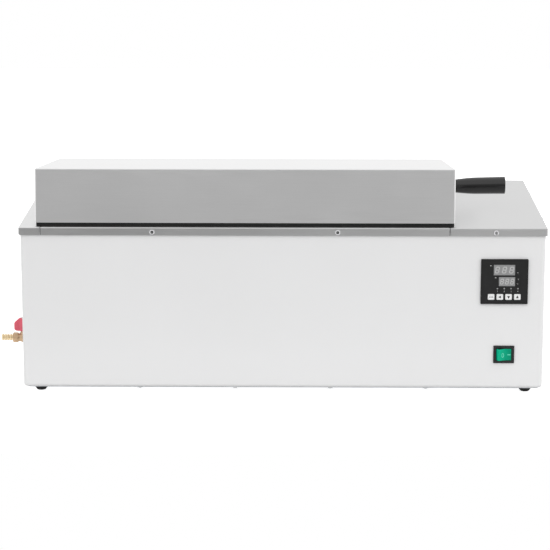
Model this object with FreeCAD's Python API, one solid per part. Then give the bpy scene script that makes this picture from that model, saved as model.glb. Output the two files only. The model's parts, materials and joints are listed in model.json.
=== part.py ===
import FreeCAD, Part
import math
import os

# Bench water bath: a white sheet-steel casing on four rubber feet, topped by a stainless deck in
# three sections. The wide middle section carries a welded tank with a false floor over a tubular
# heater. A wedge-shaped box lid is hinged behind it and is lifted by a side grip. The right-hand
# compartment holds the temperature controller, the rocker switch, the relay and the power inlet.
# A small ball valve with a hose barb on the left drains the tank.
# Millimetres. X to the right, Y to the back, Z up from the surface that the feet stand on.

V = FreeCAD.Vector
RIGHT, LEFT = V(1, 0, 0), V(-1, 0, 0)
BACK, FRONT = V(0, 1, 0), V(0, -1, 0)
UP, DOWN = V(0, 0, 1), V(0, 0, -1)
REACH = 2000.0  # longer than any piece, for cuts that go right through
PAST = 1.0  # how far a cut runs past the faces that it opens
NEAR = 0.01  # how close two levels are when they count as one

# Casing
case_width = 800.0
case_depth = 395.0
case_height = 250.8
case_lift = 12.0
case_sheet = 1.2
case_bend = 5.0
case_top_flange = 12.0
case_base_flange = 14.0

# Base plate and its screws
base_sheet = 1.2
base_inset = 5.0
base_screw_edge = 8.5
base_screw_pitch = 147.0
base_screws_in_row = 4
base_side_screw_pitch = 180.0
base_vent_length = 70.0
base_vent_width = 5.0
base_vent_pitch = 14.0
base_vents = 5

# Clearances of cut-outs round what passes them
body_play = 0.2
pass_play = 0.5

# Feet
foot_top_radius = 11.0
foot_tip_radius = 9.6
foot_round = 2.5
foot_side_inset = 24.0
foot_front_inset = 31.0
foot_pocket_radius = 5.0
foot_pocket_depth = 5.0
foot_screw_grip = 4.0

# Deck sections and their screws
deck_sheet = 1.2
deck_overhang = 2.5
deck_skirt = 12.0
deck_bend = 1.8
seam_gap = 1.0
seam_margin = 12.0
deck_screw_drop = 6.8
deck_screw_share = 0.47  # of the tank's length, between the middle section's two screws
deck_side_screw_pitch = 200.0
cover_screw_share = 0.469  # of the right end cover's length, from the seam

# Screws with pan heads, sizes of one kind for the casing
screw_shank_radius = 1.9
screw_head_radius = 4.0
screw_head_height = 2.4
screw_length = 9.0
screw_hole_play = 0.2
recess_width = 1.1
recess_span = 4.4
recess_depth = 1.3

# Tank, by its distances from the casing's walls and floor
tank_from_left = 42.5
tank_from_front = 35.5
tank_from_back = 59.5
tank_from_floor = 52.0
controls_width = 157.5
tank_sheet = 1.0
tank_corner = 20.0
tank_floor_bend = 12.0
tank_flange = 10.0

# False floor
floor_height = 48.0
floor_sheet = 1.5
floor_play = 0.5
floor_bend = 3.0
floor_hole_radius = 7.0
floor_hole_pitch = 46.0
floor_row_pitch = 40.0
floor_hole_margin = 24.0
leg_windows = 5
leg_window_share = 0.79
leg_window_height = 34.0
leg_window_corner = 10.0

# Heater and probe
heater_radius = 5.0
heater_pitch = 60.0
heater_height = 24.0
heater_turn_gap = 45.0
heater_tail = 32.0
heater_pin_radius = 1.6
heater_pin_length = 9.0
rest_sheet = 1.5
rest_offset = 62.0
rest_overlap = 14.0
fitting_across_flats = 19.0
fitting_nut = 6.0
fitting_washer_radius = 11.0
fitting_washer = 1.5
probe_radius = 3.0
probe_length = 130.0
probe_height = 35.0
probe_across_flats = 14.0

# Insulation
insulation_gap = 0.3
fitting_clearance = 1.5

# Divider between the tank and the controls
divider_gap = 18.0
divider_sheet = 1.2
divider_flange = 12.0
divider_end_gap = 14.5

# Lid
lid_side_lap = 19.5
lid_setback = 6.0
lid_from_back = 35.0
lid_front_height = 82.0
lid_rear_height = 36.0
lid_sheet = 1.0
lid_bend = 2.0
lid_return = 16.0
seal_height = 6.0
seal_width = 10.0
seal_inset = 1.5
seal_play = 0.3
seal_corner = 3.0

# Lid grip
grip_from_front = 159.0
grip_rise = 28.0
grip_length = 86.7
grip_neck_radius = 10.2
grip_belly_radius = 13.0
grip_belly_at = 46.0
grip_end_radius = 12.9
grip_end_round = 1.2
collar_radius = 9.0
collar_length = 2.0
stud_radius = 4.0
stud_in_grip = 42.0
stud_in_lid = 9.5
stud_nut_across_flats = 13.0
stud_nut_height = 6.5
stud_washer_radius = 8.0
stud_washer = 1.6

# Hinges
hinge_from_tank_end = 110.0
hinge_length = 60.0
hinge_leaf = 1.5
hinge_leaf_width = 25.0
knuckle_radius = 3.5
hinge_pin_radius = 2.0
hinge_pin_play = 0.06
hinge_knuckles = 5
knuckle_gap = 0.3
hinge_hole_pitch = 36.0
hinge_hole_edge = 11.0
hinge_screw_radius = 1.9
hinge_screw_length = 8.0
hinge_sink_radius = 3.6
hinge_screw_slot_depth = 0.6
driver_slot_width = 1.0
rivet_radius = 1.6
rivet_head_radius = 3.0
rivet_head = 0.9

# Drain: pipe, ball valve and hose barb
drain_offset_x = 60.0
drain_offset_y = -13.0
drain_drop = 18.0
drain_bend = 14.0
pipe_radius = 6.0
pipe_bore = 4.8
wall_hole_play = 0.3
locknut_height = 4.0
locknut_across_flats = 19.0
valve_length = 33.0
valve_across_flats = 14.6
valve_waist_radius = 6.6
valve_belly_radius = 8.0
valve_hex_in = 8.0
valve_hex_out = 9.0
valve_socket = 7.0
valve_bore = 3.2
ball_radius = 5.5
ball_play = 0.15
stem_radius = 3.0
stem_play = 0.05
stem_slot = 2.0
stem_tongue_depth = 1.3
boss_radius = 5.0
boss_rise = 9.4
stem_rise = 27.0
handle_rise = 11.0
handle_height = 21.5
handle_half_span = 14.4
handle_tip_low = 1.0
handle_tip_high = 13.6
handle_shoulder = 6.3
wing_thickness = 6.4
wing_round = 1.2
hub_radius = 6.2
handle_screw_radius = 1.5
handle_screw_head_radius = 3.0
handle_screw_head = 1.8
handle_screw_slot_depth = 0.7
handle_screw_length = 9.0
handle_screw_hole = 8.0
handle_foot_cut = 1.5
barb_length = 18.4
barb_radius = 5.4
barb_root_radius = 4.3
barb_bore = 2.8
barb_ridges = 4
barb_neck = 1.2
barb_land = 0.8
barb_thread_radius = 4.6
barb_thread_length = 6.0

# Controller
panel_width = 72.0
panel_height = 70.0
panel_proud = 3.0
panel_corner = 1.5
panel_rim = 2.0
panel_rim_rise = 0.4
panel_from_right = 62.0
panel_from_top = 83.0
housing_width = 66.0
housing_height = 64.0
housing_depth = 80.0
housing_wall = 1.5
housing_play = 0.4
board_depth = 7.5
board_sheet = 1.6
display_recess = 0.8
upper_display_width = 32.5
upper_display_height = 16.4
upper_display_x = -0.4
upper_display_z = 18.2
lower_display_width = 24.8
lower_display_height = 14.3
lower_display_x = 3.8
lower_display_z = 0.2
lamp_radius = 1.25
lamp_pitch = 10.4
lamp_x = 5.1
lamp_z = -10.8
key_width = 10.0
key_height = 8.75
key_corner = 1.2
key_proud = 1.2
key_pitch = 13.3
key_x = 0.0
key_z = -23.65
key_play = 0.25
key_travel = 0.8
key_flange = 0.7
key_flange_thickness = 1.0
key_rod_radius = 1.6
key_names = ("set", "shift", "down", "up")
key_switch_side = 6.0
key_switch_height = 3.6
key_plunger_radius = 1.7

# Rocker switch
switch_width = 32.0
switch_height = 27.5
switch_proud = 2.0
switch_corner = 1.0
switch_from_right = 60.5
switch_from_floor = 54.1
switch_body_width = 28.0
switch_body_height = 22.6
switch_body_depth = 22.0
switch_well_depth = 13.0
rocker_width = 23.4
rocker_height = 18.8
rocker_play = 0.35
rocker_tilt = 14.0
rocker_proud = 0.3
rocker_pivot_depth = 5.0
rocker_end_round = 1.8
rocker_edge_round = 0.5
rocker_pin_radius = 1.5
rocker_pin_play = 0.05
rocker_pin_length = 1.4
rocker_back = 4.2
terminal_width = 6.3
terminal_sheet = 0.8
terminal_length = 9.0
terminal_pitch_x = 14.0
terminal_pitch_z = 10.0

# Power inlet
inlet_from_right = 68.0
inlet_from_floor = 50.0
inlet_flange_width = 34.0
inlet_flange_height = 28.0
inlet_flange_sheet = 3.0
inlet_flange_corner = 4.0
inlet_body_width = 27.0
inlet_body_height = 20.0
inlet_body_depth = 22.0
inlet_well_width = 24.2
inlet_well_height = 16.4
inlet_well_depth = 16.5
inlet_chamfer = 4.5
pin_width = 2.0
pin_height = 4.0
pin_length = 13.0
pin_pitch = 7.0
pin_earth_rise = 4.0

# Relay on its heat sink, and the terminal block
sink_length = 90.0
sink_height = 80.0
sink_base = 4.0
sink_depth = 26.0
sink_fins = 9
sink_fin = 1.8
sink_centre_y = 10.0
sink_from_top = 94.0
relay_length = 45.0
relay_height = 58.0
relay_depth = 22.0
terminal_block_length = 60.0
terminal_block_depth = 22.0
terminal_block_height = 18.0
terminal_block_step = 6.0
terminal_block_from_right = 65.0
terminal_block_y = 70.0
terminal_block_ways = 6
terminal_well_share = 0.28

# Rear vent slots of the control compartment
vent_slots = 6
vent_length = 46.0
vent_width = 4.0
vent_pitch = 11.0
vent_from_top = 74.0

# Levels and faces that follow from the sizes above
case_left, case_right = -case_width / 2, case_width / 2
case_front, case_back = -case_depth / 2, case_depth / 2
case_floor = case_lift
case_top = case_lift + case_height
deck_top = case_top + deck_sheet
deck_left, deck_right = case_left - deck_overhang, case_right + deck_overhang
deck_front, deck_back = case_front - deck_overhang, case_back + deck_overhang

tank_left, tank_right = case_left + tank_from_left, case_right - controls_width
tank_front, tank_back = case_front + tank_from_front, case_back - tank_from_back
tank_centre_x, tank_centre_y = (tank_left + tank_right) / 2, (tank_front + tank_back) / 2
tank_floor = case_floor + tank_from_floor
seam_left, seam_right = tank_left - seam_margin, tank_right + seam_margin
deck_screw_pitch = deck_screw_share * (tank_right - tank_left)

divider_x = tank_right + tank_sheet + divider_gap
heater_z = tank_floor + heater_height
heater_rows = [tank_centre_y + (row - 1.5) * heater_pitch for row in range(4)]
heater_end = tank_right + heater_tail
probe_z = tank_floor + probe_height

lid_left, lid_right = tank_left - lid_side_lap, tank_right + lid_side_lap
lid_front = deck_front + lid_setback
lid_back = deck_back - lid_from_back
lid_depth = lid_back - lid_front
lid_floor = deck_top + seal_height
grip_y = lid_front + grip_from_front
hinge_y = lid_back + knuckle_radius
hinge_z = deck_top + knuckle_radius + knuckle_gap
hinge_places = {
    "left": tank_left + hinge_from_tank_end,
    "right": tank_right - hinge_from_tank_end,
}

drain_x = tank_left + drain_offset_x
drain_y = tank_centre_y + drain_offset_y
drain_z = tank_floor - drain_drop
valve_start = case_left - locknut_height
valve_end = valve_start - valve_length
stem_x = valve_start - valve_length / 2

panel_centre_x, panel_centre_z = case_right - panel_from_right, deck_top - panel_from_top
switch_centre_x, switch_centre_z = case_right - switch_from_right, case_floor + switch_from_floor
inlet_centre_x, inlet_centre_z = case_right - inlet_from_right, case_floor + inlet_from_floor
sink_centre_z = deck_top - sink_from_top
vent_centre_z = deck_top - vent_from_top
terminal_block_x = case_right - terminal_block_from_right

housing_front = case_front
board_front = case_front + board_depth
key_row = [panel_centre_x + key_x + (place - 1.5) * key_pitch for place in range(4)]
rocker_pivot_y = case_front - switch_proud + rocker_pivot_depth


def block(x0, x1, y0, y1, z0, z1):
    """Box between two opposite corners."""
    return Part.makeBox(x1 - x0, y1 - y0, z1 - z0, V(x0, y0, z0))


def rod(radius, base, direction, length):
    """Round bar from a point along a direction."""
    return Part.makeCylinder(radius, length, base, direction)


def prism(points, push):
    """Closed outline of straight lines, pushed along a vector."""
    return Part.Face(Part.makePolygon(list(points) + [points[0]])).extrude(push)


def turned(profile, centre, axis):
    """Half outline of (distance along axis, radius) pairs, turned about the axis through centre."""
    side = BACK if abs(axis.y) < 0.5 else UP
    points = [centre + axis * along + side * radius for along, radius in profile]
    return Part.Face(Part.makePolygon(points + [points[0]])).revolve(centre, axis, 360)


def hexagon(across_flats, base, direction, length):
    """Six-sided bar with a flat on top, from a point along a level direction."""
    corner = across_flats / 2 / math.cos(math.pi / 6)
    side = direction.cross(UP)
    if side.Length < 0.5:
        side, rise = RIGHT, BACK
    else:
        rise = UP
    turns = [math.radians(60 * step) for step in range(6)]
    points = [base + side * (corner * math.cos(a)) + rise * (corner * math.sin(a)) for a in turns]
    return prism(points, direction * length)


def straight_edges(shape, direction, wanted=lambda middle: True):
    """Straight edges of a shape that run along a direction and whose middle passes a test."""
    found = []
    for edge in shape.Edges:
        ends = [v.Point for v in edge.Vertexes]
        if len(ends) == 2 and edge.Curve.TypeId == "Part::GeomLine":
            run = (ends[1] - ends[0]).normalize()
            if abs(run.dot(direction)) > 0.999 and wanted((ends[0] + ends[1]) * 0.5):
                found.append(edge)
    return found


def rounded(shape, radius, direction, wanted=lambda middle: True):
    """Shape with its edges along a direction rounded."""
    return shape.makeFillet(radius, straight_edges(shape, direction, wanted))


def rounded_block(x0, x1, y0, y1, z0, z1, radius, direction=UP):
    """Box whose four edges along a direction are rounded."""
    return rounded(block(x0, x1, y0, y1, z0, z1), radius, direction)


def pan_screw(place, inward, length=screw_length):
    """Screw with a domed pan head and a cross recess. The head's underside is at place."""
    out = inward * -1
    across = UP.cross(inward) if abs(inward.z) < 0.5 else RIGHT
    crown = 0.55 * screw_head_height
    profile = [
        (-screw_head_height, 0),
        (-screw_head_height, 0.62 * screw_head_radius),
        (-crown, 0.95 * screw_head_radius),
        (-0.2 * screw_head_height, screw_head_radius),
        (0, screw_head_radius),
        (0, screw_shank_radius),
        (length - screw_shank_radius, screw_shank_radius),
        (length, 0),
    ]
    screw = turned(profile, place, inward)
    top = place + out * screw_head_height
    up = inward.cross(across)
    for span, thick in ((across, up), (up, across)):
        corner = top - span * (recess_span / 2) - thick * (recess_width / 2)
        points = [
            corner,
            corner + span * recess_span,
            corner + span * recess_span + thick * recess_width,
            corner + thick * recess_width,
        ]
        screw = screw.cut(prism(points, inward * recess_depth))
    return screw


def case_box(inset, top):
    """Casing block, set in on all sides, with its uprights and lower edges rounded."""
    shape = block(
        case_left + inset, case_right - inset, case_front + inset, case_back - inset, case_floor + inset, top
    )
    radius = max(case_bend - inset, 0.3)
    low = case_floor + inset
    edges = straight_edges(shape, UP)
    edges += straight_edges(shape, RIGHT, lambda m: abs(m.z - low) < NEAR)
    edges += straight_edges(shape, BACK, lambda m: abs(m.z - low) < NEAR)
    return shape.makeFillet(radius, edges)


def base_screw_places():
    """Places of the screws that hold the base plate to the casing's lower flange."""
    rows = [(i - (base_screws_in_row - 1) / 2) * base_screw_pitch for i in range(base_screws_in_row)]
    along_y = case_back - base_screw_edge
    along_x = case_right - base_screw_edge
    places = [(x, y) for x in rows for y in (-along_y, along_y)]
    half = base_side_screw_pitch / 2
    places += [(x, y) for x in (-along_x, along_x) for y in (-half, half)]
    return places


def foot_places():
    """Centre of each foot, by name."""
    x, y = case_right - foot_side_inset, case_back - foot_front_inset
    return {"front_left": (-x, -y), "front_right": (x, -y), "rear_left": (-x, y), "rear_right": (x, y)}


def deck_screw_places():
    """(point on the skirt's outer face, inward direction) of each deck screw."""
    z = deck_top - deck_screw_drop
    on_cover = seam_right + cover_screw_share * (deck_right - seam_right)
    xs = [tank_centre_x - deck_screw_pitch / 2, tank_centre_x + deck_screw_pitch / 2, on_cover]
    places = [(V(x, deck_front, z), BACK) for x in xs] + [(V(x, deck_back, z), FRONT) for x in xs]
    for y in (-deck_side_screw_pitch / 2, deck_side_screw_pitch / 2):
        places += [(V(deck_left, y, z), RIGHT), (V(deck_right, y, z), LEFT)]
    return places


def screw_hole(place, inward, length=screw_length):
    """Clearance hole for a screw, with its start outside the sheet."""
    return rod(screw_shank_radius + screw_hole_play, place - inward * PAST, inward, length + PAST)


def with_deck_holes(shape):
    """Shape with the deck screws' clearance holes."""
    for place, inward in deck_screw_places():
        shape = shape.cut(screw_hole(place, inward))
    return shape


def with_hinge_holes(shape):
    """Shape with the clearance holes of the hinges' deck screws."""
    for centre in hinge_places.values():
        for place in hinge_screw_places(centre):
            shape = shape.cut(screw_hole(place, DOWN, hinge_screw_length))
    return shape


def case_shell():
    """Folded casing: four walls with a flange turned in at the top and at the bottom."""
    shell = case_box(0, case_top).cut(case_box(case_sheet, case_top - case_sheet))
    for flange, z in ((case_top_flange, case_top), (case_base_flange, case_floor)):
        shell = shell.cut(
            block(
                case_left + flange,
                case_right - flange,
                case_front + flange,
                case_back - flange,
                z - case_bend,
                z + case_bend,
            )
        )
    shell = with_hinge_holes(with_deck_holes(shell))
    for x, y in base_screw_places():
        shell = shell.cut(screw_hole(V(x, y, case_floor), UP))
    shell = shell.cut(opening(panel_centre_x, panel_centre_z, housing_width, housing_height, housing_play))
    switch = opening(switch_centre_x, switch_centre_z, switch_body_width, switch_body_height, body_play)
    shell = shell.cut(switch)
    inlet = block(
        inlet_centre_x - inlet_body_width / 2 - body_play,
        inlet_centre_x + inlet_body_width / 2 + body_play,
        case_back - 2 * case_sheet,
        case_back + PAST,
        inlet_centre_z - inlet_body_height / 2 - body_play,
        inlet_centre_z + inlet_body_height / 2 + body_play,
    )
    shell = shell.cut(inlet)
    for i in range(vent_slots):
        z = vent_centre_z + (i - (vent_slots - 1) / 2) * vent_pitch
        shell = shell.cut(
            rounded_block(
                inlet_centre_x - vent_length / 2,
                inlet_centre_x + vent_length / 2,
                case_back - 2 * case_sheet,
                case_back + PAST,
                z - vent_width / 2,
                z + vent_width / 2,
                0.49 * vent_width,
                BACK,
            )
        )
    outside = V(case_left - PAST, drain_y, drain_z)
    return shell.cut(rod(pipe_radius + wall_hole_play, outside, RIGHT, 2 * case_bend))


def opening(x, z, width, height, play):
    """Rectangular cut through the front wall, a little larger than what passes it."""
    half_width, half_height = width / 2 + play, height / 2 + play
    y0, y1 = case_front - PAST, case_front + 2 * case_sheet
    return block(x - half_width, x + half_width, y0, y1, z - half_height, z + half_height)


def base_plate():
    """Flat plate under the casing's lower flange, with vent slots below the controls."""
    plate = rounded_block(
        case_left + base_inset,
        case_right - base_inset,
        case_front + base_inset,
        case_back - base_inset,
        case_floor - base_sheet,
        case_floor,
        case_bend,
    )
    for x, y in base_screw_places():
        plate = plate.cut(screw_hole(V(x, y, case_floor - base_sheet), UP))
    for x, y in foot_places().values():
        plate = plate.cut(screw_hole(V(x, y, case_floor - base_sheet), UP))
    vent_x = (divider_x + case_right) / 2
    for i in range(base_vents):
        y = (i - (base_vents - 1) / 2) * base_vent_pitch
        plate = plate.cut(
            rounded_block(
                vent_x - base_vent_length / 2,
                vent_x + base_vent_length / 2,
                y - base_vent_width / 2,
                y + base_vent_width / 2,
                case_floor - 2 * base_sheet,
                case_floor + base_sheet,
                0.49 * base_vent_width,
            )
        )
    return plate


def base_screws():
    """Screws of the base plate."""
    z = case_floor - base_sheet
    return Part.makeCompound([pan_screw(V(x, y, z), UP) for x, y in base_screw_places()])


def foot(place):
    """Tapered rubber foot with a rounded tip and a pocket for its screw."""
    x, y = place
    top = case_floor - base_sheet
    body = Part.makeCone(foot_tip_radius, foot_top_radius, top, V(x, y, 0), UP)
    tip = [e for e in body.Edges if e.BoundBox.ZMax < NEAR]
    body = body.makeFillet(foot_round, tip)
    body = body.cut(rod(foot_pocket_radius, V(x, y, -PAST), UP, foot_pocket_depth + PAST))
    return body.cut(rod(screw_shank_radius + screw_hole_play, V(x, y, 0), UP, top + PAST))


def foot_screws():
    """Screws from inside each foot's pocket up through the base plate."""
    length = case_floor - foot_pocket_depth + foot_screw_grip
    places = [V(x, y, foot_pocket_depth) for x, y in foot_places().values()]
    return Part.makeCompound([pan_screw(place, UP, length) for place in places])


def deck_section(x0, x1, closed_left, closed_right):
    """Deck plate between two stations with its skirt folded down on the outer sides."""
    z0, z1 = deck_top - deck_skirt, deck_top
    outer = block(x0, x1, deck_front, deck_back, z0, z1)
    inner = block(
        x0 + (deck_sheet if closed_left else -PAST),
        x1 - (deck_sheet if closed_right else -PAST),
        deck_front + deck_sheet,
        deck_back - deck_sheet,
        z0 - PAST,
        z1 - deck_sheet,
    )

    def bent(shape, radius):
        box = shape.BoundBox
        edges = straight_edges(shape, RIGHT, lambda m: abs(m.z - box.ZMax) < NEAR)
        sides = [x for x, closed in ((box.XMin, closed_left), (box.XMax, closed_right)) if closed]
        for x in sides:
            edges += straight_edges(shape, BACK, lambda m: abs(m.x - x) < NEAR and abs(m.z - box.ZMax) < NEAR)
            edges += straight_edges(shape, UP, lambda m: abs(m.x - x) < NEAR)
        return shape.makeFillet(radius, edges)

    section = bent(outer, deck_bend).cut(bent(inner, max(deck_bend - deck_sheet, 0.2)))
    return with_deck_holes(section)


def tank_rim():
    """Middle deck section with the tank's mouth."""
    mouth = rounded_block(
        tank_left, tank_right, tank_front, tank_back, deck_top - deck_skirt, deck_top + PAST, tank_corner
    )
    rim = deck_section(seam_left + seam_gap / 2, seam_right - seam_gap / 2, False, False).cut(mouth)
    return with_hinge_holes(rim)


def left_end_cover():
    """Narrow deck section at the left."""
    return deck_section(deck_left, seam_left - seam_gap / 2, True, False)


def right_end_cover():
    """Deck section over the controls."""
    return deck_section(seam_right + seam_gap / 2, deck_right, False, True)


def deck_screws():
    """Screws through the skirts into the casing."""
    return Part.makeCompound([pan_screw(place, inward) for place, inward in deck_screw_places()])


def tank():
    """Welded tank that hangs from the middle section by its flange."""
    t, top = tank_sheet, deck_top - deck_sheet

    def pan(grow, floor, ceiling):
        shape = rounded_block(
            tank_left - grow,
            tank_right + grow,
            tank_front - grow,
            tank_back + grow,
            floor,
            ceiling,
            tank_corner + grow,
        )
        lower = [e for e in shape.Edges if e.BoundBox.ZMax < floor + NEAR]
        return shape.makeFillet(tank_floor_bend + grow, lower)

    reach = tank_flange + t
    flange = rounded_block(
        tank_left - reach,
        tank_right + reach,
        tank_front - reach,
        tank_back + reach,
        top - t,
        top,
        tank_corner + reach,
    )
    shape = pan(t, tank_floor - t, top).fuse(flange).cut(pan(0, tank_floor, top + PAST))
    shape = shape.cut(rod(pipe_bore, V(drain_x, drain_y, tank_floor - 2 * t), UP, 4 * t))
    for y in (heater_rows[0], heater_rows[-1]):
        shape = shape.cut(rod(heater_radius, V(tank_right - PAST, y, heater_z), RIGHT, 4 * t))
    return shape.cut(rod(probe_radius, V(tank_right - PAST, tank_centre_y, probe_z), RIGHT, 4 * t))


def false_floor():
    """Perforated plate on two folded legs with windows for the water to pass."""
    # The legs stand just inside the tank's bottom bend, measured where it is deepest, in a corner.
    wall_gap = tank_corner - (tank_corner - tank_floor_bend) * math.cos(math.pi / 4) + floor_play
    x0, x1 = tank_left + wall_gap, tank_right - wall_gap
    y0, y1 = tank_front + wall_gap, tank_back - wall_gap
    top = tank_floor + floor_height

    def channel(inset, low, high):
        past = PAST if inset else 0
        shape = block(x0 - past, x1 + past, y0 + inset, y1 - inset, low, high)
        return shape.makeFillet(
            max(floor_bend - inset, 0.3), straight_edges(shape, RIGHT, lambda m: abs(m.z - high) < NEAR)
        )

    shape = channel(0, tank_floor, top).cut(channel(floor_sheet, tank_floor - PAST, top - floor_sheet))
    rows = int((y1 - y0 - 2 * floor_hole_margin) / floor_row_pitch) + 1
    holes_in_row = int((x1 - x0 - 2 * floor_hole_margin) / floor_hole_pitch) + 1
    holes = []
    for row in range(rows):
        count = holes_in_row - row % 2
        y = tank_centre_y + (row - (rows - 1) / 2) * floor_row_pitch
        for place in range(count):
            x = tank_centre_x + (place - (count - 1) / 2) * floor_hole_pitch
            holes.append(rod(floor_hole_radius, V(x, y, top - 2 * floor_sheet), UP, 3 * floor_sheet))
    shape = shape.cut(Part.makeCompound(holes))
    window_pitch = (x1 - x0) / leg_windows
    half_window = leg_window_share * window_pitch / 2
    for i in range(leg_windows):
        x = x0 + (i + 0.5) * window_pitch
        window = rounded_block(
            x - half_window,
            x + half_window,
            y0 - PAST,
            y1 + PAST,
            tank_floor - leg_window_height,
            tank_floor + leg_window_height,
            leg_window_corner,
            BACK,
        )
        shape = shape.cut(window)
    return shape


def heater_tube():
    """Sealed tube bent into hairpins, both ends and their pins through the tank's right wall."""
    far, near = tank_left + heater_turn_gap, tank_right - heater_turn_gap
    turn = heater_pitch / 2
    rows = [V(0, y, heater_z) for y in heater_rows]

    def at(row, x):
        return rows[row] + RIGHT * x

    def bend(first, second, x, side):
        middle = (at(first, x) + at(second, x)) * 0.5 + RIGHT * (side * turn)
        return Part.Arc(at(first, x), middle, at(second, x)).toShape()

    path = Part.Wire(
        [
            Part.LineSegment(at(0, heater_end), at(0, far)).toShape(),
            bend(0, 1, far, -1),
            Part.LineSegment(at(1, far), at(1, near)).toShape(),
            bend(1, 2, near, 1),
            Part.LineSegment(at(2, near), at(2, far)).toShape(),
            bend(2, 3, far, -1),
            Part.LineSegment(at(3, far), at(3, heater_end)).toShape(),
        ]
    )
    section = Part.Wire(Part.makeCircle(heater_radius, at(0, heater_end), RIGHT))
    tube = path.makePipeShell([section], True, False)
    for row in (0, 3):
        tube = tube.fuse(rod(heater_pin_radius, at(row, heater_end), RIGHT, heater_pin_length))
    return tube


def heater_rest():
    """Strip with round notches that holds up the heater's far end."""
    x = tank_left + rest_offset
    strip = block(
        x, x + rest_sheet, heater_rows[0] - rest_overlap, heater_rows[-1] + rest_overlap, tank_floor, heater_z
    )
    for y in heater_rows:
        strip = strip.cut(rod(heater_radius, V(x - PAST, y, heater_z), RIGHT, rest_sheet + 2 * PAST))
    return strip


def probe_sheath():
    """Closed tube of the temperature probe, with a rounded tip inside the tank."""
    body = rod(probe_radius, V(heater_end, tank_centre_y, probe_z), LEFT, probe_length)
    tip = [e for e in body.Edges if e.BoundBox.XMax < heater_end - probe_length + NEAR]
    return body.makeFillet(0.8 * probe_radius, tip)


def wall_fittings():
    """Washer inside and nut outside the tank wall, for each heater end and for the probe."""
    outside = tank_right + tank_sheet
    heater = (heater_z, heater_radius, fitting_across_flats, fitting_washer_radius)
    probe = (probe_z, probe_radius, probe_across_flats, probe_across_flats / 2)
    pieces = []
    for y, size in ((heater_rows[0], heater), (heater_rows[-1], heater), (tank_centre_y, probe)):
        z, bore, flats, washer = size
        hole = rod(bore, V(tank_right - REACH / 2, y, z), RIGHT, REACH)
        nut = hexagon(flats, V(outside, y, z), RIGHT, fitting_nut)
        ring = rod(washer, V(tank_right, y, z), LEFT, fitting_washer)
        pieces += [nut.cut(hole), ring.cut(hole)]
    return Part.makeCompound(pieces)


def tank_insulation():
    """Glass-wool slabs on the tank's four sides and under it, cut to clear what passes them."""
    gap = insulation_gap
    shell = tank_sheet + gap
    wall_low = tank_floor - shell
    wall_top = deck_top - deck_screw_drop - screw_head_radius - gap
    screw_tips = max(case_floor + foot_screw_grip, case_floor - base_sheet + screw_length)
    low = max(screw_tips, case_floor + case_sheet) + gap
    inside = case_box(case_sheet + gap, wall_top)
    inside = inside.common(block(-REACH, divider_x - gap, -REACH, REACH, low, wall_top))
    front_edge, back_edge = tank_front - shell, tank_back + shell
    left_edge, right_edge = tank_left - shell, tank_right + shell
    slabs = [
        block(-REACH, REACH, -REACH, REACH, low, wall_low),
        block(-REACH, REACH, -REACH, front_edge, wall_low, wall_top),
        block(-REACH, REACH, back_edge, REACH, wall_low, wall_top),
        block(-REACH, left_edge, front_edge, back_edge, wall_low, wall_top),
        block(right_edge, REACH, front_edge, back_edge, wall_low, wall_top),
    ]
    channel = pipe_radius + fitting_clearance
    channel_end = drain_x + channel
    nut_room = locknut_across_flats / 2 / math.cos(math.pi / 6) + gap
    cuts = [
        block(-REACH, channel_end, drain_y - channel, drain_y + channel, drain_z - channel, wall_low + gap),
        rod(nut_room, V(case_left, drain_y, drain_z), RIGHT, case_sheet + locknut_height + gap),
        rod(fitting_room(probe_across_flats), V(tank_right, tank_centre_y, probe_z), RIGHT, REACH),
    ]
    for y in (heater_rows[0], heater_rows[-1]):
        cuts.append(rod(fitting_room(fitting_across_flats), V(tank_right, y, heater_z), RIGHT, REACH))
    cuts = Part.makeCompound(cuts)
    return Part.makeCompound([slab.common(inside).cut(cuts) for slab in slabs])


def fitting_room(across_flats):
    """Radius of the hole in the insulation round a nut."""
    return across_flats / 2 / math.cos(math.pi / 6) + fitting_clearance


def divider_panel():
    """Upright sheet between the insulation and the controls, flanged top and bottom."""
    y0, y1 = case_front + divider_end_gap, case_back - divider_end_gap
    x0, x1 = divider_x, divider_x + divider_sheet
    panel = block(x0, x1, y0, y1, case_floor, case_top)
    for low, high in ((case_floor, case_floor + divider_sheet), (case_top - divider_sheet, case_top)):
        panel = panel.fuse(block(x0, x0 + divider_flange, y0, y1, low, high))
    panel = panel.removeSplitter()
    for y in (heater_rows[0], heater_rows[-1]):
        panel = panel.cut(rod(heater_radius + pass_play, V(x0 - PAST, y, heater_z), RIGHT, divider_flange))
    probe_at = V(x0 - PAST, tank_centre_y, probe_z)
    return panel.cut(rod(probe_radius + pass_play, probe_at, RIGHT, divider_flange))


def lid_slope():
    """Fall of the lid's top per length, with the front face square to the top."""
    rise = lid_front_height - lid_rear_height
    root = math.sqrt(lid_depth**2 - 4 * lid_front_height * rise)
    return (lid_depth - root) / (2 * lid_front_height)


def lid_outline(inset, x):
    """Side view of the lid at a station, set in from the front, top and back faces."""
    slope = lid_slope()
    lengthen = math.sqrt(1 + slope**2)
    z0 = lid_floor + inset
    front_at_floor = lid_front + inset * lengthen + slope * inset
    top_at_front = lid_floor + lid_front_height + slope * (lid_front + slope * lid_front_height)

    def top(y):
        return top_at_front - slope * y - inset * lengthen

    # The front face climbs along (slope, 1) and meets the top, which falls at the same slope.
    climb = (top(front_at_floor) - z0) / (1 + slope**2)
    front_top = V(x, front_at_floor + slope * climb, z0 + climb)
    back = lid_back - inset
    return [V(x, front_at_floor, z0), front_top, V(x, back, top(back)), V(x, back, z0)]


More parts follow.
